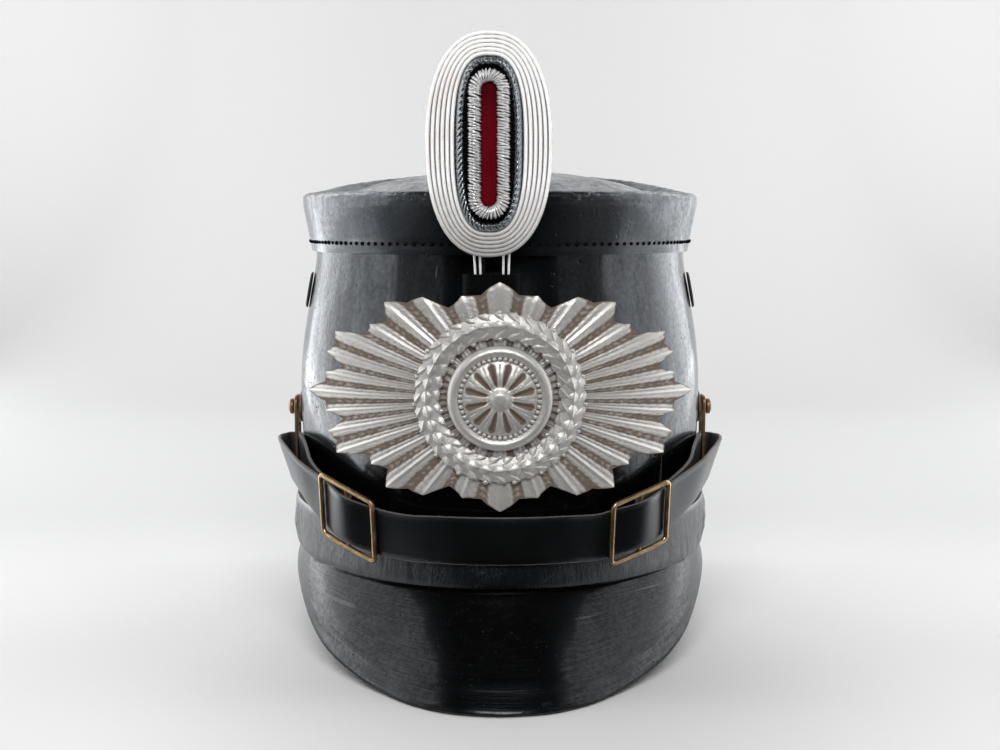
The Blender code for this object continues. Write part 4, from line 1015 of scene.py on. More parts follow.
strap = {"width": 17.3, "wall": 1.4, "gap": 0.3, "round": 0.45, "bevel": 0.13, "steps": 12,
         "foldSteps": 16, "hookTurns": (18.0, 36.0, 54.0, 72.0, 90.0), "fuzz": 0.10, "fuzzSize": 0.8,
         "stray": 0.12, "straySize": 14.0, "wave": 0.06, "waveSize": 9.0}
strapFront = [(0.0, 53.0, 5.2, 0.0), (8.0, 53.0, 5.25, 0.5), (16.0, 52.9, 5.4, 1.5),
              (23.0, 52.8, 5.7, 3.5)]
strapSide = [(53.0, 66.9, 10.4, 13.0), (61.0, 70.6, 9.6, 17.0), (70.0, 72.0, 8.5, 18.0),
             (79.0, 71.1, 7.1, 15.0), (86.6, 69.4, 6.3, 10.0)]
strapReturn = [(86.6, 69.4, 1.15, 3.0), (79.0, 70.8, 1.15, 3.0), (70.0, 71.8, 1.5, 4.0),
               (61.0, 70.4, 3.2, 8.0), (53.0, 66.4, 6.0, 11.0)]
slider = {"wire": 1.0, "bar": 0.8, "slack": 2.6, "corner": 1.6, "barAt": 0.5, "bow": 0.45, "sag": 0.35,
          "sagAt": 0.18, "sagSpread": 2.5, "step": 1.2}
sliderBars = {-1: ((30.3, 53.9, 9.0, 1.0), (44.6, 62.0, 12.0, 5.0)),
              1: ((26.4, 53.7, 9.0, 1.0), (40.8, 60.2, 12.0, 5.0))}


def strapFrame(station, side):
    # the strap's middle and its upward direction at a station
    angle, height, lift, lean = station
    point, normal = skinAt(angle, height, lift)
    lean, flip = math.radians(lean), np.array((side, 1.0, 1.0))
    return point * flip, (np.array((0.0, 0.0, math.cos(lean))) + normal * math.sin(lean)) * flip


def sliderAxes(side):
    # a slider's inner bar, its directions along the strap, up and outwards, and its length
    (inner, innerUp), (outer, outerUp) = (strapFrame(s, side) for s in sliderBars[side])
    along, up = unit(outer - inner), unit(innerUp + outerUp)
    return inner, along, up, unit(np.cross(along, up) * side), np.linalg.norm(outer - inner)


def smoothPath(frames, steps):
    # more frames on a smooth curve through the given ones
    made = []
    for k in range(len(frames) - 1):
        around = [frames[min(max(k + o, 0), len(frames) - 1)] for o in (-1, 0, 1, 2)]
        for i in range(steps):
            t = i / steps
            weights = (-0.5 * t + t * t - 0.5 * t**3, 1 - 2.5 * t * t + 1.5 * t**3,
                       0.5 * t + 2 * t * t - 1.5 * t**3, -0.5 * t * t + 0.5 * t**3)
            point, up = (sum(w * f[n] for w, f in zip(weights, around)) for n in (0, 1))
            made.append((point, unit(up)))
    return made + frames[-1:]


def halfStrap(side):
    # frames from the front's middle through slider and ring and back round the slider's bar
    start, along, up, outwards, length = sliderAxes(side)
    underWire, roundBar = (slider[key] + strap["gap"] + strap["wall"] / 2 for key in ("wire", "bar"))
    bar, end = start + along * length * slider["barAt"], start + along * length
    woven = [(start - outwards * underWire, up), (bar + outwards * roundBar, up),
             (end - outwards * underWire, up)]
    beneath = [(end - outwards * (underWire + strap["wall"] + strap["gap"]), up),
               (bar - outwards * roundBar, up)]
    hook = [(bar - (outwards * math.cos(turn) + along * math.sin(turn)) * roundBar, up)
            for turn in np.radians(strap["hookTurns"])]
    front, back, inwards = ([strapFrame(s, side) for s in stations]
                            for stations in (strapFront, strapSide, strapReturn))
    (a, aUp), (b, bUp) = back[-1], inwards[0]
    middle, arm = (a + b) / 2, (a - b) / 2
    onward = unit(np.cross((0.0, 0.0, float(side)), arm)) * np.linalg.norm(arm)
    bend = []
    for t in np.arange(1, strap["foldSteps"]) / strap["foldSteps"]:
        bend.append((middle + arm * math.cos(math.pi * t) + onward * math.sin(math.pi * t),
                     unit(aUp + (bUp - aUp) * t)))
    return (smoothPath(front + woven + back, strap["steps"]) + bend
            + smoothPath(inwards + beneath, strap["steps"]) + hook)


def makeStrap():
    look = strap
    path = halfStrap(-1)[:0:-1] + halfStrap(1)
    points, ups = (np.array([frame[n] for frame in path]) for n in (0, 1))
    run = np.gradient(points, axis=0)
    run = unit(run - ups * (run * ups).sum(1)[:, None])
    thick = np.cross(run, ups)              # towards the face that shows at the front
    half, wall, soft, bevel = look["width"] / 2, look["wall"] / 2, look["round"], look["bevel"]
    corner = [(half, wall - soft), (half - bevel, wall - bevel), (half - soft, wall)]
    face = [(x, wall) for x in np.linspace(-half + soft, half - soft, 9)[1:-1]]
    ring = [(-x, y) for x, y in corner] + face + corner[::-1]
    ring = ring + [(x, -y) for x, y in reversed(ring)]
    grid = np.array([points + ups * x + thick * y for x, y in ring])
    cut = np.array([[float(abs(x) > half - 0.2)] for x, _ in ring])
    flesh = np.array([[float(y < 0.0)] for _, y in ring])
    fuzz = (bumpy(grid, look["fuzzSize"], 3.0) * look["fuzz"] * cut
            + bumpy(grid, look["straySize"], 5.0) * look["stray"])
    wave = bumpy(np.repeat(points[None], len(ring), 0), look["waveSize"], 7.0) * look["wave"]
    grid = grid + ups * fuzz[..., None] + thick * wave[..., None]
    along = np.ones(len(points))
    mesh = gridMesh(grid, wrapUp=True, caps=True, facts={"cutEdge": cut * along, "flesh": flesh * along})
    piece("chin_strap_leather", mesh, "strap", "chin_strap", 35.0)


def roundedRectangle(width, height, corner, facets=6):
    points = []
    for quarter, (sx, sy) in enumerate([(1, 1), (-1, 1), (-1, -1), (1, -1)]):
        for i in range(facets + 1):
            turn = math.radians(90.0 * (quarter + i / facets))
            points.append((sx * (width / 2 - corner) + corner * math.cos(turn),
                           sy * (height / 2 - corner) + corner * math.sin(turn)))
    return points


def spaced(points, step):
    # more points along the straight stretches of a closed line, so that they can bow
    made = []
    for i in range(len(points)):
        a, b = np.array(points[i]), np.array(points[(i + 1) % len(points)])
        pieces = max(1, int(np.linalg.norm(b - a) / step))
        made += [a + (b - a) * k / pieces for k in range(pieces)]
    return made


def addSpline(curve, points, cyclic):
    # points are in metres
    spline = curve.splines.new("POLY")
    spline.points.add(len(points) - 1)
    for place, point in zip(spline.points, points):
        place.co = (*point, 1.0)
    spline.use_cyclic_u = cyclic


def wireMesh(points, radius, cyclic=False, resolution=3):
    curve = bpy.data.curves.new("wire", "CURVE")
    curve.dimensions, curve.use_fill_caps = "3D", True
    curve.bevel_depth, curve.bevel_resolution = radius * mm, resolution
    addSpline(curve, placed(points), cyclic)
    return plainMesh(linked("wire", curve))


def makeSlider(side, word):
    look, (start, along, up, outwards, length) = slider, sliderAxes(side)
    height = strap["width"] + look["slack"] + 2 * look["wire"]
    middle = start + along * length / 2
    path = []
    for x, y in spaced(roundedRectangle(length, height, look["corner"]), look["step"]):
        # both long wires bow outwards, the lower one sags a little
        bow = look["bow"] * (1.0 - (2.0 * x / length) ** 2)
        if y < 0:
            y -= look["sag"] * (bow + 0.6 * bell(x, look["sagAt"] * length, look["sagSpread"]))
        path.append(middle + along * x + up * y + outwards * (bow * 0.6 + 0.04 * math.sin(x * 0.9 + y)))
    atBar, arm = start + along * length * look["barAt"], up * height / 2
    mesh = joined([wireMesh(path, look["wire"] * 0.97, True),
                   wireMesh([atBar - arm, atBar, atBar + arm], look["bar"])])
    piece(f"slider_{word}_wire", mesh, "brass", f"slider_{word}")


# side studs and the rings that hang on them

fitting = {"height": 88.6, "shift": -2.0, "ring": (12.0, 35.2), "edge": 2.3, "thick": 1.2, "slot": 21.2,
           "tilt": 0.4, "corners": (2.7, 2.3, 1.3), "flange": (6.5, 0.6), "neck": (2.1, 2.9),
           "head": (3.2, 2.2)}              # radius and length of the stud's three parts


def turnedMesh(profile, around=32):
    # profile of radius and height, from the foot's outside to the middle of the top, about Z
    turns = np.radians(ringAngles(around))[None, :]
    radius, height = (np.array([point[n] for point in profile])[:, None] for n in (0, 1))
    grid = np.stack([radius * np.cos(turns), radius * np.sin(turns), height + 0 * turns], -1)
    mesh = gridMesh(grid, True, poles=[(0, (0.0, 0.0, profile[0][1])),
                                       (len(grid) - 1, (0.0, 0.0, profile[-1][1]))])
    mesh.transform(Matrix.Translation((0.0, -axisY, 0.0)))      # back to the world's middle
    return mesh


def softened(profile, steps=4, corner=0.3):
    # rounds the corners of a profile
    made = [profile[0]]
    for a, b, c in zip(profile, profile[1:], profile[2:]):
        a, b, c = map(np.array, (a, b, c))
        before, after = a - b, c - b
        reach = min(corner, np.linalg.norm(before) / 2.2, np.linalg.norm(after) / 2.2)
        p, q = b + unit(before) * reach, b + unit(after) * reach
        for t in np.arange(steps + 1) / steps:
            made.append(tuple(p * (1 - t) ** 2 + b * 2 * t * (1 - t) + q * t * t))
    return made + [profile[-1]]


def fittingSpot(side, lift, height):
    place = Vector((side * lift * mm, axisY + fitting["shift"] * mm, height * mm))
    return Matrix.Translation(place)


def makeFitting(side, word):
    look = fitting
    (flange, flangeEnd), (neck, neckLong), (head, headLong) = look["flange"], look["neck"], look["head"]
    surface = skinAt(90.0, look["height"], 0.3)[0][0]
    neckEnd = flangeEnd + neckLong
    stud = turnedMesh(softened([
        (flange, 0.0), (flange, flangeEnd), (neck, flangeEnd + 0.3), (neck, neckEnd),
        (head, neckEnd + 0.3), (head, neckEnd + 0.7 * headLong), (0.6 * head, neckEnd + headLong),
        (0.2, neckEnd + headLong)]))
    stud.transform(fittingSpot(side, surface, look["height"])
                   @ Matrix.Rotation(side * math.radians(90.0), 4, "Y"))
    outward(stud)
    piece(f"stud_{word}", stud, "oldBrass", f"side_post_{word}")

    # the ring is a plate with a small eye for the stud above and a slot for the strap below
    (ringWide, ringTall), edge, slot, bevel = look["ring"], look["edge"], look["slot"], look["thick"] / 4
    eyeTall, window = ringTall - slot - 3 * edge, ringWide - 2 * edge
    eyeAt, slotAt = ringTall / 2 - edge - eyeTall / 2, -ringTall / 2 + edge + slot / 2
    curve = bpy.data.curves.new("ring", "CURVE")
    curve.dimensions, curve.fill_mode = "2D", "BOTH"
    curve.extrude, curve.bevel_depth, curve.bevel_resolution = bevel * mm, bevel * mm, 3
    outlines = ((ringWide - 2 * bevel, ringTall - 2 * bevel, 0.0),
                (window + 2 * bevel, eyeTall + 2 * bevel, eyeAt),
                (window + 2 * bevel, slot + 2 * bevel, slotAt))
    for (wide, tall, middle), corner in zip(outlines, look["corners"]):
        outline = [(x * mm, (y + middle) * mm, 0.0) for x, y in roundedRectangle(wide, tall, corner)]
        addSpline(curve, outline, True)
    mesh = plainMesh(linked("ring", curve))
    hang = look["height"] + neck + 0.3 - (eyeAt + eyeTall / 2)
    tilt = math.radians(look["tilt"])
    lift = flangeEnd + neckLong / 2 + math.tan(tilt) * (look["height"] - hang)
    mesh.transform(fittingSpot(side, surface + lift, hang) @ Matrix.Rotation(side * tilt, 4, "Y")
                   @ Matrix.Rotation(math.radians(90.0), 4, "Z")
                   @ Matrix.Rotation(math.radians(90.0), 4, "X"))
    outward(mesh)
    piece(f"ring_{word}", mesh, "oldBrass", f"strap_ring_{word}")


# front plate, with a ring of leaves and a boss on it

plate = {"bend": 110.0, "face": -100.9, "height": 104.2, "half": (76.5, 40.6), "wall": 1.2, "rays": 32,
         "perRay": 16, "radial": 46, "points": 12, "notch": 0.12, "valley": 0.07, "ridge": 1.0,
         "edgeFrom": 0.93, "edgeDrop": 0.55, "nicks": 30.0, "nickSlant": 0.9, "nickDeep": 0.16,
         "post": 1.5, "postAt": 30.0}
wreath = {"radius": 25.5, "seat": 1.3, "leaves": 64, "leafLong": 5.4, "leafWide": 1.9,
          "leafSizes": (0.93, 1.08),
          # distance from the middle line, height over the seat, slant, seed
          "leafRows": ((-2.9, 0.2, 0.62, 3), (2.9, 0.2, -0.62, 5), (0.0, 1.1, 0.0, 7)),
          "berryRows": ((-4.6, 11), (4.6, 13)), "berry": 0.95, "berryUp": 0.5, "berrySizes": (0.8, 1.05),
          "section": ((-4.2, 0.0), (-4.2, 0.7), (-2.0, 1.5), (0.0, 1.8), (2.0, 1.5), (4.2, 0.7),
                      (4.2, 0.0)), "highest": 3.6}
boss = {"radius": 18.6, "seat": 1.3, "around": 192, "rows": 40, "petals": 12, "petalDeep": 0.9,
        "slitDeep": 0.35, "beads": 46, "bead": 0.85, "beadUp": 1.9, "beadSizes": (0.95, 1.03),
        # from here on, shares of the radius; the profile has a height with each
        "petalFrom": (0.2, 0.3), "petalTo": (0.7, 0.62), "trenchAt": 0.75,
        "profile": ((0.0, 5.0), (0.10, 4.9), (0.16, 4.2), (0.22, 3.6), (0.34, 3.7), (0.52, 3.3),
                    (0.66, 2.2), (0.72, 1.7), (0.78, 1.6), (0.84, 2.3), (0.88, 2.5), (0.92, 2.3),
                    (0.96, 1.8), (1.0, 0.9))}


def onPlate(points):
    # bends flat work (along, out, up) onto the plate's face, which faces -Y
    along, out, up = np.moveaxis(np.asarray(points, float), -1, 0)
    turn, radius = along / plate["bend"], plate["bend"] + out
    return np.stack([radius * np.sin(turn), plate["face"] + plate["bend"] - radius * np.cos(turn),
                     plate["height"] + up], -1)


def makePlate():
    look, around = plate, plate["rays"] * plate["perRay"]
    turn, away = ringTurns(around)[None, :], np.linspace(0.02, 1.0, look["radial"])[:, None]
    ray, fine = (zigzag(turn / math.tau * look["rays"] * finer) for finer in (1.0, 4.0))
    bundle = 0.5 + 0.5 * np.cos(look["points"] * turn)
    cut = (1.0 - bundle) * look["notch"] + (1.0 - ray) * look["valley"]
    reach, strength = away * (1.0 - cut * away), np.minimum(1.0, 2.2 * away)
    out = look["ridge"] * strength * (0.72 * ray + 0.28 * fine)
    out = out * (1.0 - look["edgeDrop"] * share(away, look["edgeFrom"], 1.0) ** 2)
    # cross nicks, like the barbs of a feathered ray
    nick = zigzag(away * look["nicks"] + ray * look["nickSlant"])
    out = out - look["nickDeep"] * strength * np.clip(1.0 - nick * 2.2, 0.0, 1.0) * (ray < 0.8)
    along, up = look["half"][0] * reach * np.sin(turn), look["half"][1] * reach * np.cos(turn)
    front = onPlate(np.stack([along, out, up], -1))
    back = onPlate(np.stack([along, out * 0.0 - look["wall"], up], -1))[::6]
    grid = np.concatenate([back, front[-1:] * 0.5 + back[-1:] * 0.5, front[::-1]])
    recess = np.concatenate([np.ones((len(back) + 1, around)),
                             (1.0 - np.clip(out / look["ridge"], 0.0, 1.0))[::-1] ** 1.7])
    foot, crest = onPlate([[0.0, -look["wall"], 0.0], [0.0, 0.0, 0.0]])
    parts = [gridMesh(grid, True, facts={"recess": recess}, poles=[(0, foot), (len(grid) - 1, crest)])]
    for x in (-look["postAt"], look["postAt"]):
        start = onPlate([x, -look["wall"] / 2, 0.0])
        seat = crownFront(abs(x) - look["post"], look["height"]) - 0.3
        parts.append(wireMesh([start, (start[0], seat, start[2])], look["post"]))
    piece("plate_rays_cast", joined(parts), "whiteMetal", "plate_rays", 30.0)


def bentOntoPlate(mesh):
    # a mesh laid flat about the plate's middle is bent with it
    along, inwards, up = tablePoints(mesh).T
    bent = placed(onPlate(np.stack([along, -inwards, up], -1)))
    mesh.vertices.foreach_set("co", bent.ravel())
    setFact(mesh, "recess", np.clip(1.0 + inwards / wreath["highest"], 0.0, 1.0))
    mesh.update()


def circleLine(radius, out, count=240):
    # columns of radii and heights make a grid of circles
    turn = ringTurns(count)
    along, up = radius * np.sin(turn), radius * np.cos(turn)
    return np.stack([along, along * 0.0 - out, up], -1)


def leafShape(work):
    # a pointed leaf with a raised rib, its middle at the origin and its tip along X
    long, wide = wreath["leafLong"], wreath["leafWide"]
    rows = []
    for i in range(9):
        t = i / 8
        half = wide * math.sin(math.pi * min(t * 1.02, 1.0)) ** 0.75 * (1.15 - 0.45 * t) + 0.03
        row = []
        for k in range(-3, 4):
            s = k / 3
            wave = 1.0 + (0.13 if i % 2 else -0.06) * abs(s)
            height = (0.9 * (1.0 - s * s) * math.sin(math.pi * (0.12 + 0.8 * t))
                      + {0: 0.32, 1: -0.16}.get(abs(k), 0.0) + 0.5 * t)
            row.append(work.verts.new(((t * long - long / 2) * mm, s * half * wave * mm,
                                       (height + 0.25) * mm)))
        rows.append(row)
    rim = rows[0] + [row[-1] for row in rows[1:]] + rows[-1][-2::-1] + [row[0] for row in rows[-2:0:-1]]
    skirt = [work.verts.new((vert.co.x, vert.co.y * 0.9, -0.4 * mm)) for vert in rim]
    for low, high in zip(rows, rows[1:]):
        for corners in zip(low, high, high[1:], low[1:]):
            work.faces.new(corners)
    for i in range(len(rim)):
        j = (i + 1) % len(rim)
        work.faces.new((rim[i], rim[j], skirt[j], skirt[i]))
    work.faces.new(skirt)
    bmesh.ops.recalc_face_normals(work, faces=work.faces)


def ball(radius):
    return lambda work: bmesh.ops.create_icosphere(work, subdivisions=2, radius=radius * mm)


def makeWreath():
    look, middle, seat = wreath, wreath["radius"], wreath["seat"]
    every = math.tau * middle / look["leaves"] * 2.0
    parts = [studded("leaf_row", circleLine(middle + aside, seat + up), leafShape, "whiteMetal", every,
                     seed, look["leafSizes"], facing=towardsViewer, slant=slant, wobble=0.10, mirrored=True)
             for aside, up, slant, seed in look["leafRows"]]
    parts += [studded("berry_row", circleLine(middle + aside, seat + look["berryUp"]), ball(look["berry"]),
                      "whiteMetal", every * 2.0, seed, look["berrySizes"], facing=towardsViewer)
              for aside, seed in look["berryRows"]]
    aside, up = np.array(look["section"]).T[:, :, None]
    parts.append(gridMesh(circleLine(middle + aside, seat + up, 96), True, True))
    mesh = joined(parts)
    bentOntoPlate(mesh)
    piece("plate_wreath_cast", mesh, "whiteMetal", "plate_wreath", 45.0)


def makeBoss():
    look, around, seat = boss, boss["around"], boss["seat"]
    turn, away = ringTurns(around)[None, :], np.linspace(0.0, 1.0, look["rows"])[:, None]
    petal = np.abs(np.cos(look["petals"] / 2 * turn))
    inPetal = share(away, *look["petalFrom"]) * share(away, *look["petalTo"])
    out = smoothRead(look["profile"], 1, away) - inPetal * (
        look["petalDeep"] * (1.0 - petal) ** 2 + look["slitDeep"] * bell(petal, 1.0, 0.006))
    radius = look["radius"] * np.maximum(away, 0.012)
    grid = np.concatenate([circleLine(radius, seat + out, around), circleLine(radius[-1:], seat, around)])
    low = inPetal * (1.0 - petal) * 1.6 + bell(away, look["trenchAt"], 0.05)
    recess = np.concatenate([np.clip(low, 0.0, 1.0), np.ones((1, around))])
    crest = seat + look["profile"][0][1]
    face = gridMesh(grid, True, facts={"recess": recess},
                    poles=[(0, (0.0, -crest, 0.0)), (look["rows"], (0.0, -seat, 0.0))])
    beadsAt = look["radius"] * look["trenchAt"]
    beads = studded("boss_beads", circleLine(beadsAt, seat + look["beadUp"]), ball(look["bead"]),
                    "whiteMetal", math.tau * beadsAt / look["beads"], 2, look["beadSizes"],
                    facing=towardsViewer)
    setFact(beads, "recess", np.zeros(len(beads.vertices)))
    mesh = joined([face, beads])
    mesh.transform(Matrix.Translation((0.0, plate["face"] * mm, plate["height"] * mm)))
    piece("plate_boss_cast", mesh, "whiteMetal", "plate_boss", 45.0)


# cockade: backing and rows of cord, black gimp, bullion coil and velvet

cockade = {"centre": (-3.8, -99.3, 192.3), "backing": 1.6, "bow": 1.6, "bowOver": 38.3, "seat": 0.3,
           "outer": (22.05, 38.75, 2.35), "rows": 6, "rowUp": 0.72, "rowStep": 0.13, "rowEvery": 1.70,
           "rowTwist": 0.43, "rowStrand": 0.42, "rowPitch": 1.2, "rowSquarer": 0.07, "rowSqueeze": 0.84,
           "furrow": (0.45, 0.95), "furrowLow": (1.40, 0.80),
           "gimp": (11.85, 30.25, 3.0), "ribs": 62, "perRib": 12, "ribSlant": 0.46, "ribDeep": 0.62,
           "crumple": 0.22, "crumpleFrom": 14.0, "crumpleOver": 10.0,
           "bullion": (4.98, 23.5), "bullionRadius": 2.38, "wrapSlant": -0.27,
           # every, wire, reach, wobble of the two layers of wraps
           "coils": ((0.58, 0.17, -0.18, 0.24), (1.02, 0.31, 0.14, 0.15)),
           "velvet": (2.8, 21.3), "velvetRise": 1.5}
# the black gimp's cut: inset, rise and how deep its ribs are there
gimpSection = [(0.05, 0.2, 0.0), (0.0, 1.05, 0.0), (0.08, 1.2, 0.0), (0.55, 1.68, 0.1), (0.95, 2.1, 0.5),
               (1.35, 2.5, 0.9), (1.7, 2.8, 1.0), (2.0, 2.95, 1.0), (2.4, 2.85, 1.0), (2.8, 2.4, 1.0),
               (3.1, 1.85, 1.0), (3.45, 1.1, 0.7), (3.6, 0.5, 0.2), (3.6, 0.2, 0.0)]


def bowed(z):
    # the cockade's face leans back towards its top and foot
    return cockade["bow"] * (z / cockade["bowOver"]) ** 2


def evenly(x, z, rise, count):
    # a closed outline on the cockade's bowed face, its points at even steps
    step = np.hypot(np.diff(x, append=x[0]), np.diff(z, append=z[0]))
    length = np.append(0.0, np.cumsum(step))
    at = np.linspace(0.0, length[-1], count, endpoint=False)
    x, z = (np.interp(at, length, np.append(line, line[0])) for line in (x, z))
    return np.stack([x, bowed(z) - rise, z], -1) + np.array(cockade["centre"])


def ovalLine(oval, inset, rise, count=720, squeeze=1.0):
    halfWidth, halfHeight, power = oval
    turn = np.linspace(0.0, math.tau, 6000, endpoint=False)
    across, up = np.sin(turn), np.cos(turn)
    reach = (np.abs(across) ** power + np.abs(up) ** power) ** (-1.0 / power)
    return evenly((halfWidth - inset) * across * reach, (halfHeight - inset * squeeze) * up * reach,
                  rise, count)


def slotLine(halfWidth, halfHeight, rise, count=480):
    # straight sides and half round ends, from the top towards the right
    turn = np.radians(np.linspace(0.0, 90.0, 200))
    x, z = halfWidth * np.sin(turn), halfHeight - halfWidth + halfWidth * np.cos(turn)
    x, z = np.concatenate([x, x[::-1]]), np.concatenate([z, -z[::-1]])
    return evenly(np.concatenate([x, -x[::-1]]), np.concatenate([z, z[::-1]]), rise, count)


def darkFurrows(mesh, rows):
    # how far each vertex lies from the middle of its row or below its crest, as a recess: the mask of the
    # painted shade in the furrows between the rows
    look, centre, places = cockade, np.array(cockade["centre"]), tablePoints(mesh)
    x, z = (places - centre)[:, [0, 2]].T
    at, reach = np.arctan2(x, z), np.hypot(x, z)
    away, nearest = np.full(len(x), 9.0), np.zeros(len(x))
    for k, row in enumerate(rows):
        x, up = (row - centre)[:, [0, 2]].T
        turn = np.arctan2(x, up)
        order = np.argsort(turn)
        turn, radius = turn[order], np.hypot(x, up)[order]
        here, lean = (np.interp(at, turn, values, period=math.tau)
                      for values in (radius, np.gradient(radius, turn)))
        off = np.abs(reach - here) / np.hypot(1.0, lean / here)
        nearest, away = np.where(off < away, k, nearest), np.minimum(away, off)
    crest = centre[1] + bowed(z) - look["backing"] - places[:, 1] - look["rowStep"] * nearest
    setFact(mesh, "recess", np.maximum(share(away, *look["furrow"]), share(crest, *look["furrowLow"])))


def makeCords():
    look, back = cockade, cockade["backing"]
    rows, under = [], []
    for k in range(look["rows"]):
        oval = (*look["outer"][:2], look["outer"][2] + look["rowSquarer"] * k)
        inset, rise = (k + 0.5) * look["rowEvery"], back + look["rowUp"] + look["rowStep"] * k
        for lines, lower in ((rows, 0.0), (under, 0.25)):
            lines.append(ovalLine(oval, inset, rise - lower, squeeze=look["rowSqueeze"]))
    cords = grown(rows, pliedTree(2, "silver"), {
        "Step": 0.19 * mm, "Pitch": look["rowPitch"] * mm, "Twist Radius": look["rowTwist"] * mm,
        "Strand Radius": look["rowStrand"] * mm, "Sides": 6})
    darkFurrows(cords, rows)
    rims = [ovalLine(look["outer"], inset, rise)
            for inset, rise in ((0.9, 0.0), (0.6, back * 0.5), (0.75, back + 0.35))]
    rims += under + [ovalLine(look["gimp"], 0.5, back + 0.1)]
    x, y, z = look["centre"]
    cloth = gridMesh(np.array(rims)[:, ::3], True,
                     poles=[(0, (x, y, z)), (len(rims) - 1, (x, y - back - 0.1, z))])
    allFaces(cloth, 1)
    piece("cockade_cords_laid", joined([cords, cloth], 0.0), "silver", "cockade_cords", 0.0,
          ["backing"])


def makeBlackCord():
    # one round of gimp: a smooth flank outside, slanting ribs towards the middle
    look, back = cockade, cockade["backing"]
    count = look["ribs"] * look["perRib"]
    along = np.arange(count) / look["perRib"]
    grid = np.array([ovalLine(look["gimp"], inset, back + rise, count) for inset, rise, _ in gimpSection])
    for line, (inset, _, ribbed) in zip(grid, gimpSection):
        comb = np.abs(np.sin(math.pi * (along - look["ribSlant"] * inset)))
        line[:, 1] -= ribbed * look["ribDeep"] * (comb - 0.7)
    above = (grid[..., 2] - look["centre"][2] - look["crumpleFrom"]) / look["crumpleOver"]
    grid[2:-2, :, 1] += (bumpy(grid, 1.5, 4.0) * look["crumple"] * np.clip(above, 0.25, 1.0))[2:-2]
    floor = gridMesh([ovalLine(look["gimp"], inset, back + rise, 240) for inset, rise in
                      ((3.3, 0.25), (3.3, 0.45), (5.6, 0.45), (5.6, 0.25))], True, True)
    allFaces(floor, 1)
    piece("cockade_black_gimp", joined([gridMesh(grid, True, True), floor]), "blackThread",
          "cockade_black_cord", 0.0, ["mattThread"])


def wrapShape(work, wire, reach, turns=10, sides=4):
    # the front of one turn of bullion, an arch about X
    middle = cockade["bullionRadius"] - wire
    radius = cockade["bullionRadius"] + reach - wire
    rings = []
    for i in range(turns):
        a, ring = math.radians(-25.0 + 230.0 * i / (turns - 1)), []
        for k in range(sides):
            b = math.tau * (k + 0.5) / sides
            r = radius + wire * math.cos(b)
            ring.append(work.verts.new((wire * math.sin(b) * mm, r * math.cos(a) * mm,
                                        (0.93 * r * math.sin(a) + middle) * mm)))
        rings.append(ring)
    for low, high in zip(rings, rings[1:]):
        for k in range(sides):
            m = (k + 1) % sides
            work.faces.new((low[k], high[k], high[m], low[m]))
    work.faces.new(rings[0])
    work.faces.new(rings[-1])
    bmesh.ops.recalc_face_normals(work, faces=work.faces)


def makeBullion():
    look, foot = cockade, cockade["backing"] + cockade["seat"]
    parts = [studded("wraps", slotLine(*look["bullion"], foot),
                     lambda work: wrapShape(work, wire, reach), "bullion", every, 6 + k, (0.95, 1.02),
                     facing=towardsViewer, slant=look["wrapSlant"], wobble=wobble)
             for k, (every, wire, reach, wobble) in enumerate(look["coils"])]
    core = wireMesh(slotLine(*look["bullion"], foot + look["bullionRadius"] - 0.35, 240),
                    look["bullionRadius"] - 0.6, True, 4)
    allFaces(core, 1)
    piece("cockade_bullion_coil", joined([*parts, core]), "bullion", "cockade_bullion", 0.0,
          ["bullionCore"])


def makeVelvet():
    look, foot = cockade, cockade["backing"] + cockade["seat"]
    (halfWidth, halfHeight), crest = look["velvet"], foot + look["velvetRise"]
    grid = np.array([slotLine(halfWidth - inset, halfHeight - inset, rise, 240) for inset, rise in (
        (0.0, foot), (0.0, crest - 0.5), (0.2, crest - 0.15), (0.7, crest), (1.5, crest + 0.05))])
    grid[2:, :, 1] += bumpy(grid[2:], 1.2, 2.0) * 0.15
    x, y, z = look["centre"]
    mesh = gridMesh(grid, True, poles=[(0, (x, y - foot, z)), (len(grid) - 1, (x, y - crest - 0.05, z))])
    piece("cockade_velvet_pad", mesh, "velvet", "cockade_velvet")


# the cockade's wires, the pocket they stand in, and the vents

prong = {"radius": 0.42, "half": (0.85, 1.12), "top": 166.0, "foot": 141.0, "y": -96.75,
         "places": (("left", -7.45, -8.6), ("right", 1.95, 2.5))}      # where the foot and the top stand
sleeve = {"wall": 1.0, "half": 9.6, "centre": -2.9, "front": -98.5, "heights": (139.5, 147.4),
          "corners": ((0.6, 1.2), (2.2, 0.0))}      # distance from the side and from the front
vent = {"height": 138.0, "angle": 80.0, "radius": 7.2, "holes": 5, "holeRadius": 0.8, "holeRing": 0.4,
        "profile": ((1.0, 0.0), (1.0, 0.5), (0.9, 1.0), (0.76, 0.9), (0.7, 0.6))}  # share of radius, height


def makeProngs():
    (narrow, wide), y = prong["half"], prong["y"]
    for word, foot, top in prong["places"]:
        bend = [(foot - narrow * math.cos(turn), y, prong["foot"] - narrow * math.sin(turn))
                for turn in math.pi * np.arange(13) / 12]
        mesh = wireMesh([(top - wide, y, prong["top"]), *bend, (top + wide, y, prong["top"])],
                        prong["radius"])
        outward(mesh)
        piece(f"prong_{word}_wire", mesh, "steel", f"prong_{word}")


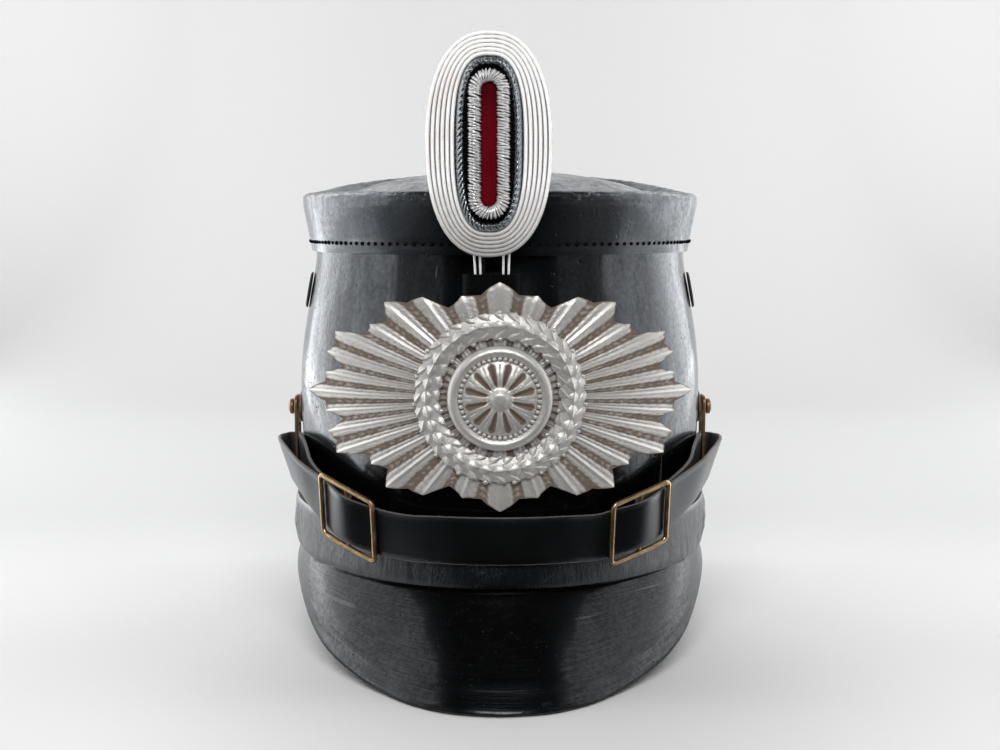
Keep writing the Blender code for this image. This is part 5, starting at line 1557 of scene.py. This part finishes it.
def makeSleeve():
    look, front = sleeve, sleeve["front"] + sleeve["wall"]
    left, right = (look["centre"] + way * look["half"] for way in (-1, 1))
    rows = []
    for height in np.linspace(*look["heights"], 8):
        outline = ([(left, crownFront(left, height) - 0.3)]
                   + [(left + aside, front + behind) for aside, behind in look["corners"]]
                   + [(right - aside, front + behind) for aside, behind in reversed(look["corners"])]
                   + [(right, crownFront(right, height) - 0.3)])
        line = np.array(softened(outline, 4, 0.8))
        run = unit(np.gradient(line, axis=0))
        outer = line + np.stack([run[:, 1], -run[:, 0]], -1) * look["wall"]
        loop = np.concatenate([line, outer[::-1]])
        rows.append(np.column_stack([loop, np.full(len(loop), height)]))
    mesh = gridMesh(np.array(rows).transpose(1, 0, 2), wrapUp=True, caps=True)
    piece("prong_sleeve_leather", mesh, "trim", "prong_sleeve")


def makeVent(side, word):
    look, radius = vent, vent["radius"]
    profile = [(radius * part, height) for part, height in look["profile"]] + [(0.02, 0.7)]
    body = linked("vent", turnedMesh(softened(profile, 5, 0.4), 48))
    drills, size = bmesh.new(), look["holeRadius"] * mm
    for turn in ringTurns(look["holes"]):
        x, y = (look["holeRing"] * radius * wave(turn) * mm for wave in (math.cos, math.sin))
        bmesh.ops.create_cone(drills, cap_ends=True, segments=16, radius1=size, radius2=size,
                              depth=6.0 * mm, matrix=Matrix.Translation((x, y, 0.0)))
    cutter = linked("drills", meshOf(drills))
    cut = body.modifiers.new("holes", "BOOLEAN")
    cut.operation, cut.object, cut.solver = "DIFFERENCE", cutter, "EXACT"
    mesh = plainMesh(body)
    bpy.data.objects.remove(cutter, do_unlink=True)
    lower, upper = (Vector(skinAt(look["angle"], look["height"] + way * radius)[0]) for way in (-1, 1))
    normal = Vector(skinAt(look["angle"], look["height"])[1])
    rising, flip = (upper - lower).normalized(), Vector((side, 1.0, 1.0))
    facing = (normal - rising * normal.dot(rising)) * flip
    spot = ((lower + upper) / 2 + 0.4 * normal) * flip * mm + Vector((0.0, axisY, 0.0))
    mesh.transform(Matrix.Translation(spot) @ facing.to_track_quat("Z", "Y").to_matrix().to_4x4())
    outward(mesh)
    piece(f"vent_{word}_cap", mesh, "trim", f"vent_{word}", 30.0)


# paper: a sheet that bends up into the backdrop, and one in front of the hat

def paperSheet(name, line):
    points = [(x, y, z) for y, z in line for x in (-paper["halfWidth"], paper["halfWidth"])]
    faces = [(2 * i, 2 * i + 1, 2 * i + 3, 2 * i + 2) for i in range(len(line) - 1)]
    mesh = bpy.data.meshes.new(name)
    mesh.from_pydata(points, [], faces)
    made = fromMesh(name, mesh, "paper")
    return made


def makeBackdrop():
    look, bend, steps = paper, paper["bend"], paper["bendSteps"]
    line = [(look["apronFrom"], 0.0)]
    for i in range(steps + 1):
        turn = math.radians(90.0 * i / steps)
        line.append((look["wallAt"] - bend + bend * math.sin(turn), bend - bend * math.cos(turn)))
    paperSheet("backdrop", line + [(look["wallAt"], look["wallTop"])])
    # the table in front of the hat doesn't show in its lacquer
    apron = paperSheet("apron", [(look["apronTo"], 0.0), (look["apronFrom"], 0.0)])
    apron.visible_glossy = False


makeCamera()
makeStudio()
makeBackdrop()
print("studio ready")
makeCrown()
makeTop()
makeStitching()
print("crown ready")
makePeak("front_peak_leather", frontPeak, 0.0, "front_peak")
makePeak("rear_peak_leather", rearPeak, 180.0, "rear_peak")
makeBand()
print("peaks and band ready")
makeStrap()
for side, word in ((-1, "left"), (1, "right")):
    makeSlider(side, word)
    makeFitting(side, word)
    makeVent(side, word)
print("strap and fittings ready")
makePlate()
makeWreath()
makeBoss()
print("plate ready")
makeCords()
makeBlackCord()
makeBullion()
makeVelvet()
makeProngs()
makeSleeve()
print("cockade ready")
